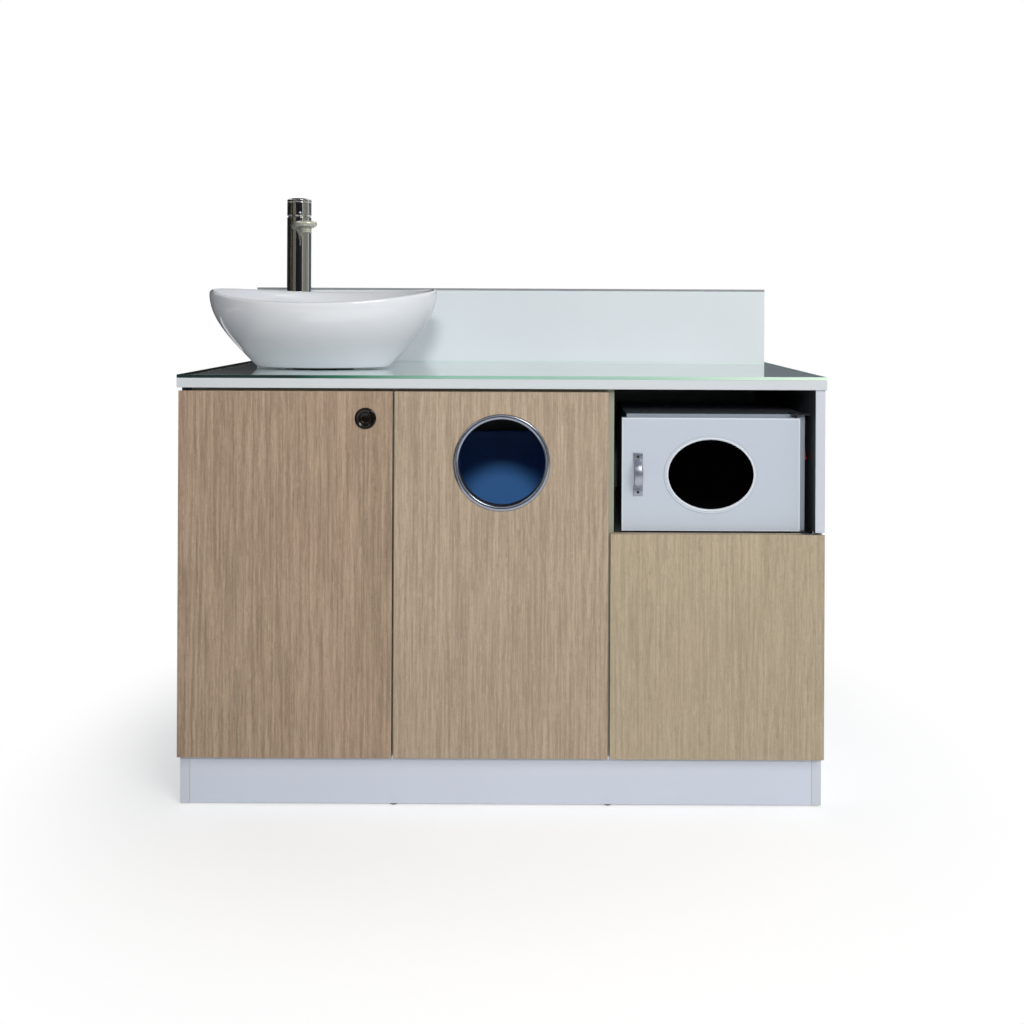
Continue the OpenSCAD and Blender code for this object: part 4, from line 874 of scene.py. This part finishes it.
# ---- Bow handle ----
# A pewter strap that bows out between two flat feet. A small black screw through each foot
# holds it at the left of the steriliser's door.
pewter = paint("pewter", (0.41, 0.445, 0.52), 0.36, Metallic=0.85)
grainy_bump(pewter, 900, 0.00002)
grip_low, grip_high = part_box("steriliser_handle")
grip_mid, grip_size = (grip_low + grip_high) / 2, grip_high - grip_low
strap_half_w, strap_half_t, foot_len, foot_t = 0.0082, 0.0026, 0.018, 0.0024
strap_overlap, strap_sink = 0.004, 0.0012
leg = grip_size.z / 2 - foot_len + strap_overlap
bow_rise = grip_size.y - strap_half_t - strap_sink
bow_radius = (leg ** 2 + bow_rise ** 2) / (2 * bow_rise)
bow_swing = math.asin(leg / bow_radius)
bow_centre = (grip_mid.x, grip_low.y + strap_half_t + bow_radius, grip_mid.z)
grip = bmesh.new()
bmesh.ops.create_circle(grip, cap_ends=True, segments=28, radius=1)
bmesh.ops.scale(grip, vec=(strap_half_w, strap_half_t, 1), verts=grip.verts)
bmesh.ops.translate(grip, vec=(grip_mid.x, grip_low.y + strap_half_t, grip_mid.z),
                    verts=grip.verts)
bmesh.ops.rotate(grip, cent=bow_centre, matrix=Matrix.Rotation(-bow_swing, 3, "X"),
                 verts=grip.verts)
bmesh.ops.spin(grip, geom=grip.verts[:] + grip.edges[:] + grip.faces[:], cent=bow_centre,
               axis=(1, 0, 0), angle=2 * bow_swing, steps=24)
bmesh.ops.remove_doubles(grip, verts=grip.verts, dist=0.00001)
for end in (-1, 1):
    foot = bmesh.ops.create_cube(grip, size=1)["verts"]
    bmesh.ops.scale(grip, vec=(grip_size.x, foot_t, foot_len), verts=foot)
    bmesh.ops.translate(grip, vec=(grip_mid.x, grip_high.y - foot_t / 2,
                        grip_mid.z + end * (grip_size.z - foot_len) / 2), verts=foot)
    bmesh.ops.bevel(grip, geom=list({e for v in foot for e in v.link_edges}), offset=0.0009,
                    segments=3, profile=0.5, affect="EDGES", material=-1)
bmesh.ops.recalc_face_normals(grip, faces=grip.faces)
crease(grip)
grip = piece("bow_grip", grip, pewter, "steriliser_leaf")
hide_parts("steriliser_handle")

# ---- Screws ----
# Pan heads with round sockets hold the back panel, the waste front's carriage, the steriliser's
# hinge plates and rear cover and its handle. They are zinc plated or blackened steel.


def pan_heads(places, way, radius, height):
    """Screw heads that stand on the given points and face one way, each with a round socket."""
    made = bmesh.new()
    turn = Vector((0, 0, 1)).rotation_difference(Vector(way)).to_matrix()
    for spot in places:
        head = turned([(0, 0), (radius, 0), (radius, 0.5 * height), (0.86 * radius, 0.85 * height),
                       (0.6 * radius, height), (0.42 * radius, height),
                       (0.38 * radius, 0.4 * height), (0, 0.4 * height)], 20)
        bmesh.ops.rotate(head, matrix=turn, verts=head.verts)
        bmesh.ops.translate(head, vec=spot, verts=head.verts)
        mesh = bpy.data.meshes.new("head")
        head.to_mesh(mesh)
        head.free()
        made.from_mesh(mesh)
        bpy.data.meshes.remove(mesh)
    return made


back_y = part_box("back_panel")[1].y
shelf_z, base_z = (sum(c.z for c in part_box(board)) / 2 for board in ("niche_shelf", "base_panel"))
rail_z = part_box("back_panel")[1].z - 0.009
side_x, partition_x, partition_z, shelf_x = 0.54, 0.20, (0.32, 0.55), (0.32, 0.46)
back_spots = [(x, back_y, z) for x in (-side_x, -partition_x, partition_x, side_x)
              for z in (base_z, rail_z)]
back_spots += [(x, back_y, z) for x in (-partition_x, partition_x) for z in partition_z]
back_spots += [(x, back_y, shelf_z) for x in shelf_x]
piece("back_screws", pan_heads(back_spots, (0, 1, 0), 0.004, 0.0018), zinc, "cabinet")

carriage_low, carriage_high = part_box("bin_carriage")
front_spots = [(x, carriage_low.y + 0.0015, carriage_high.z - 0.025) for x in (-0.12, 0.12)]
piece("front_screws", pan_heads(front_spots, (0, 1, 0), 0.0055, 0.0022), zinc, "waste_unit")

hinge_low, hinge_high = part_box("steriliser_hinges")
for name, z, way in (("top_hinge_screws", hinge_high.z, 1), ("low_hinge_screws", hinge_low.z, -1)):
    hinge_spots = [(hinge_high.x - x, hinge_high.y - 0.007, z) for x in (0.008, 0.025)]
    piece(name, pan_heads(hinge_spots, (0, 0, way), 0.0026, 0.0011), black_plastic, "cabinet")

cover_inset = 0.01
cover_spots = [(x, case_high.y, z) for x in (case_low.x + cover_inset, case_high.x - cover_inset)
               for z in (case_low.z + cover_inset, case_high.z - cover_inset)]
piece("cover_screws", pan_heads(cover_spots, (0, 1, 0), 0.003, 0.0014), zinc, "cabinet")

grip_screw_z = 0.033
grip_spots = [(grip_mid.x, grip_high.y - foot_t, grip_mid.z + z)
              for z in (-grip_screw_z, grip_screw_z)]
piece("grip_screws", pan_heads(grip_spots, (0, -1, 0), 0.0026, 0.0009), black_plastic,
      "steriliser_leaf")
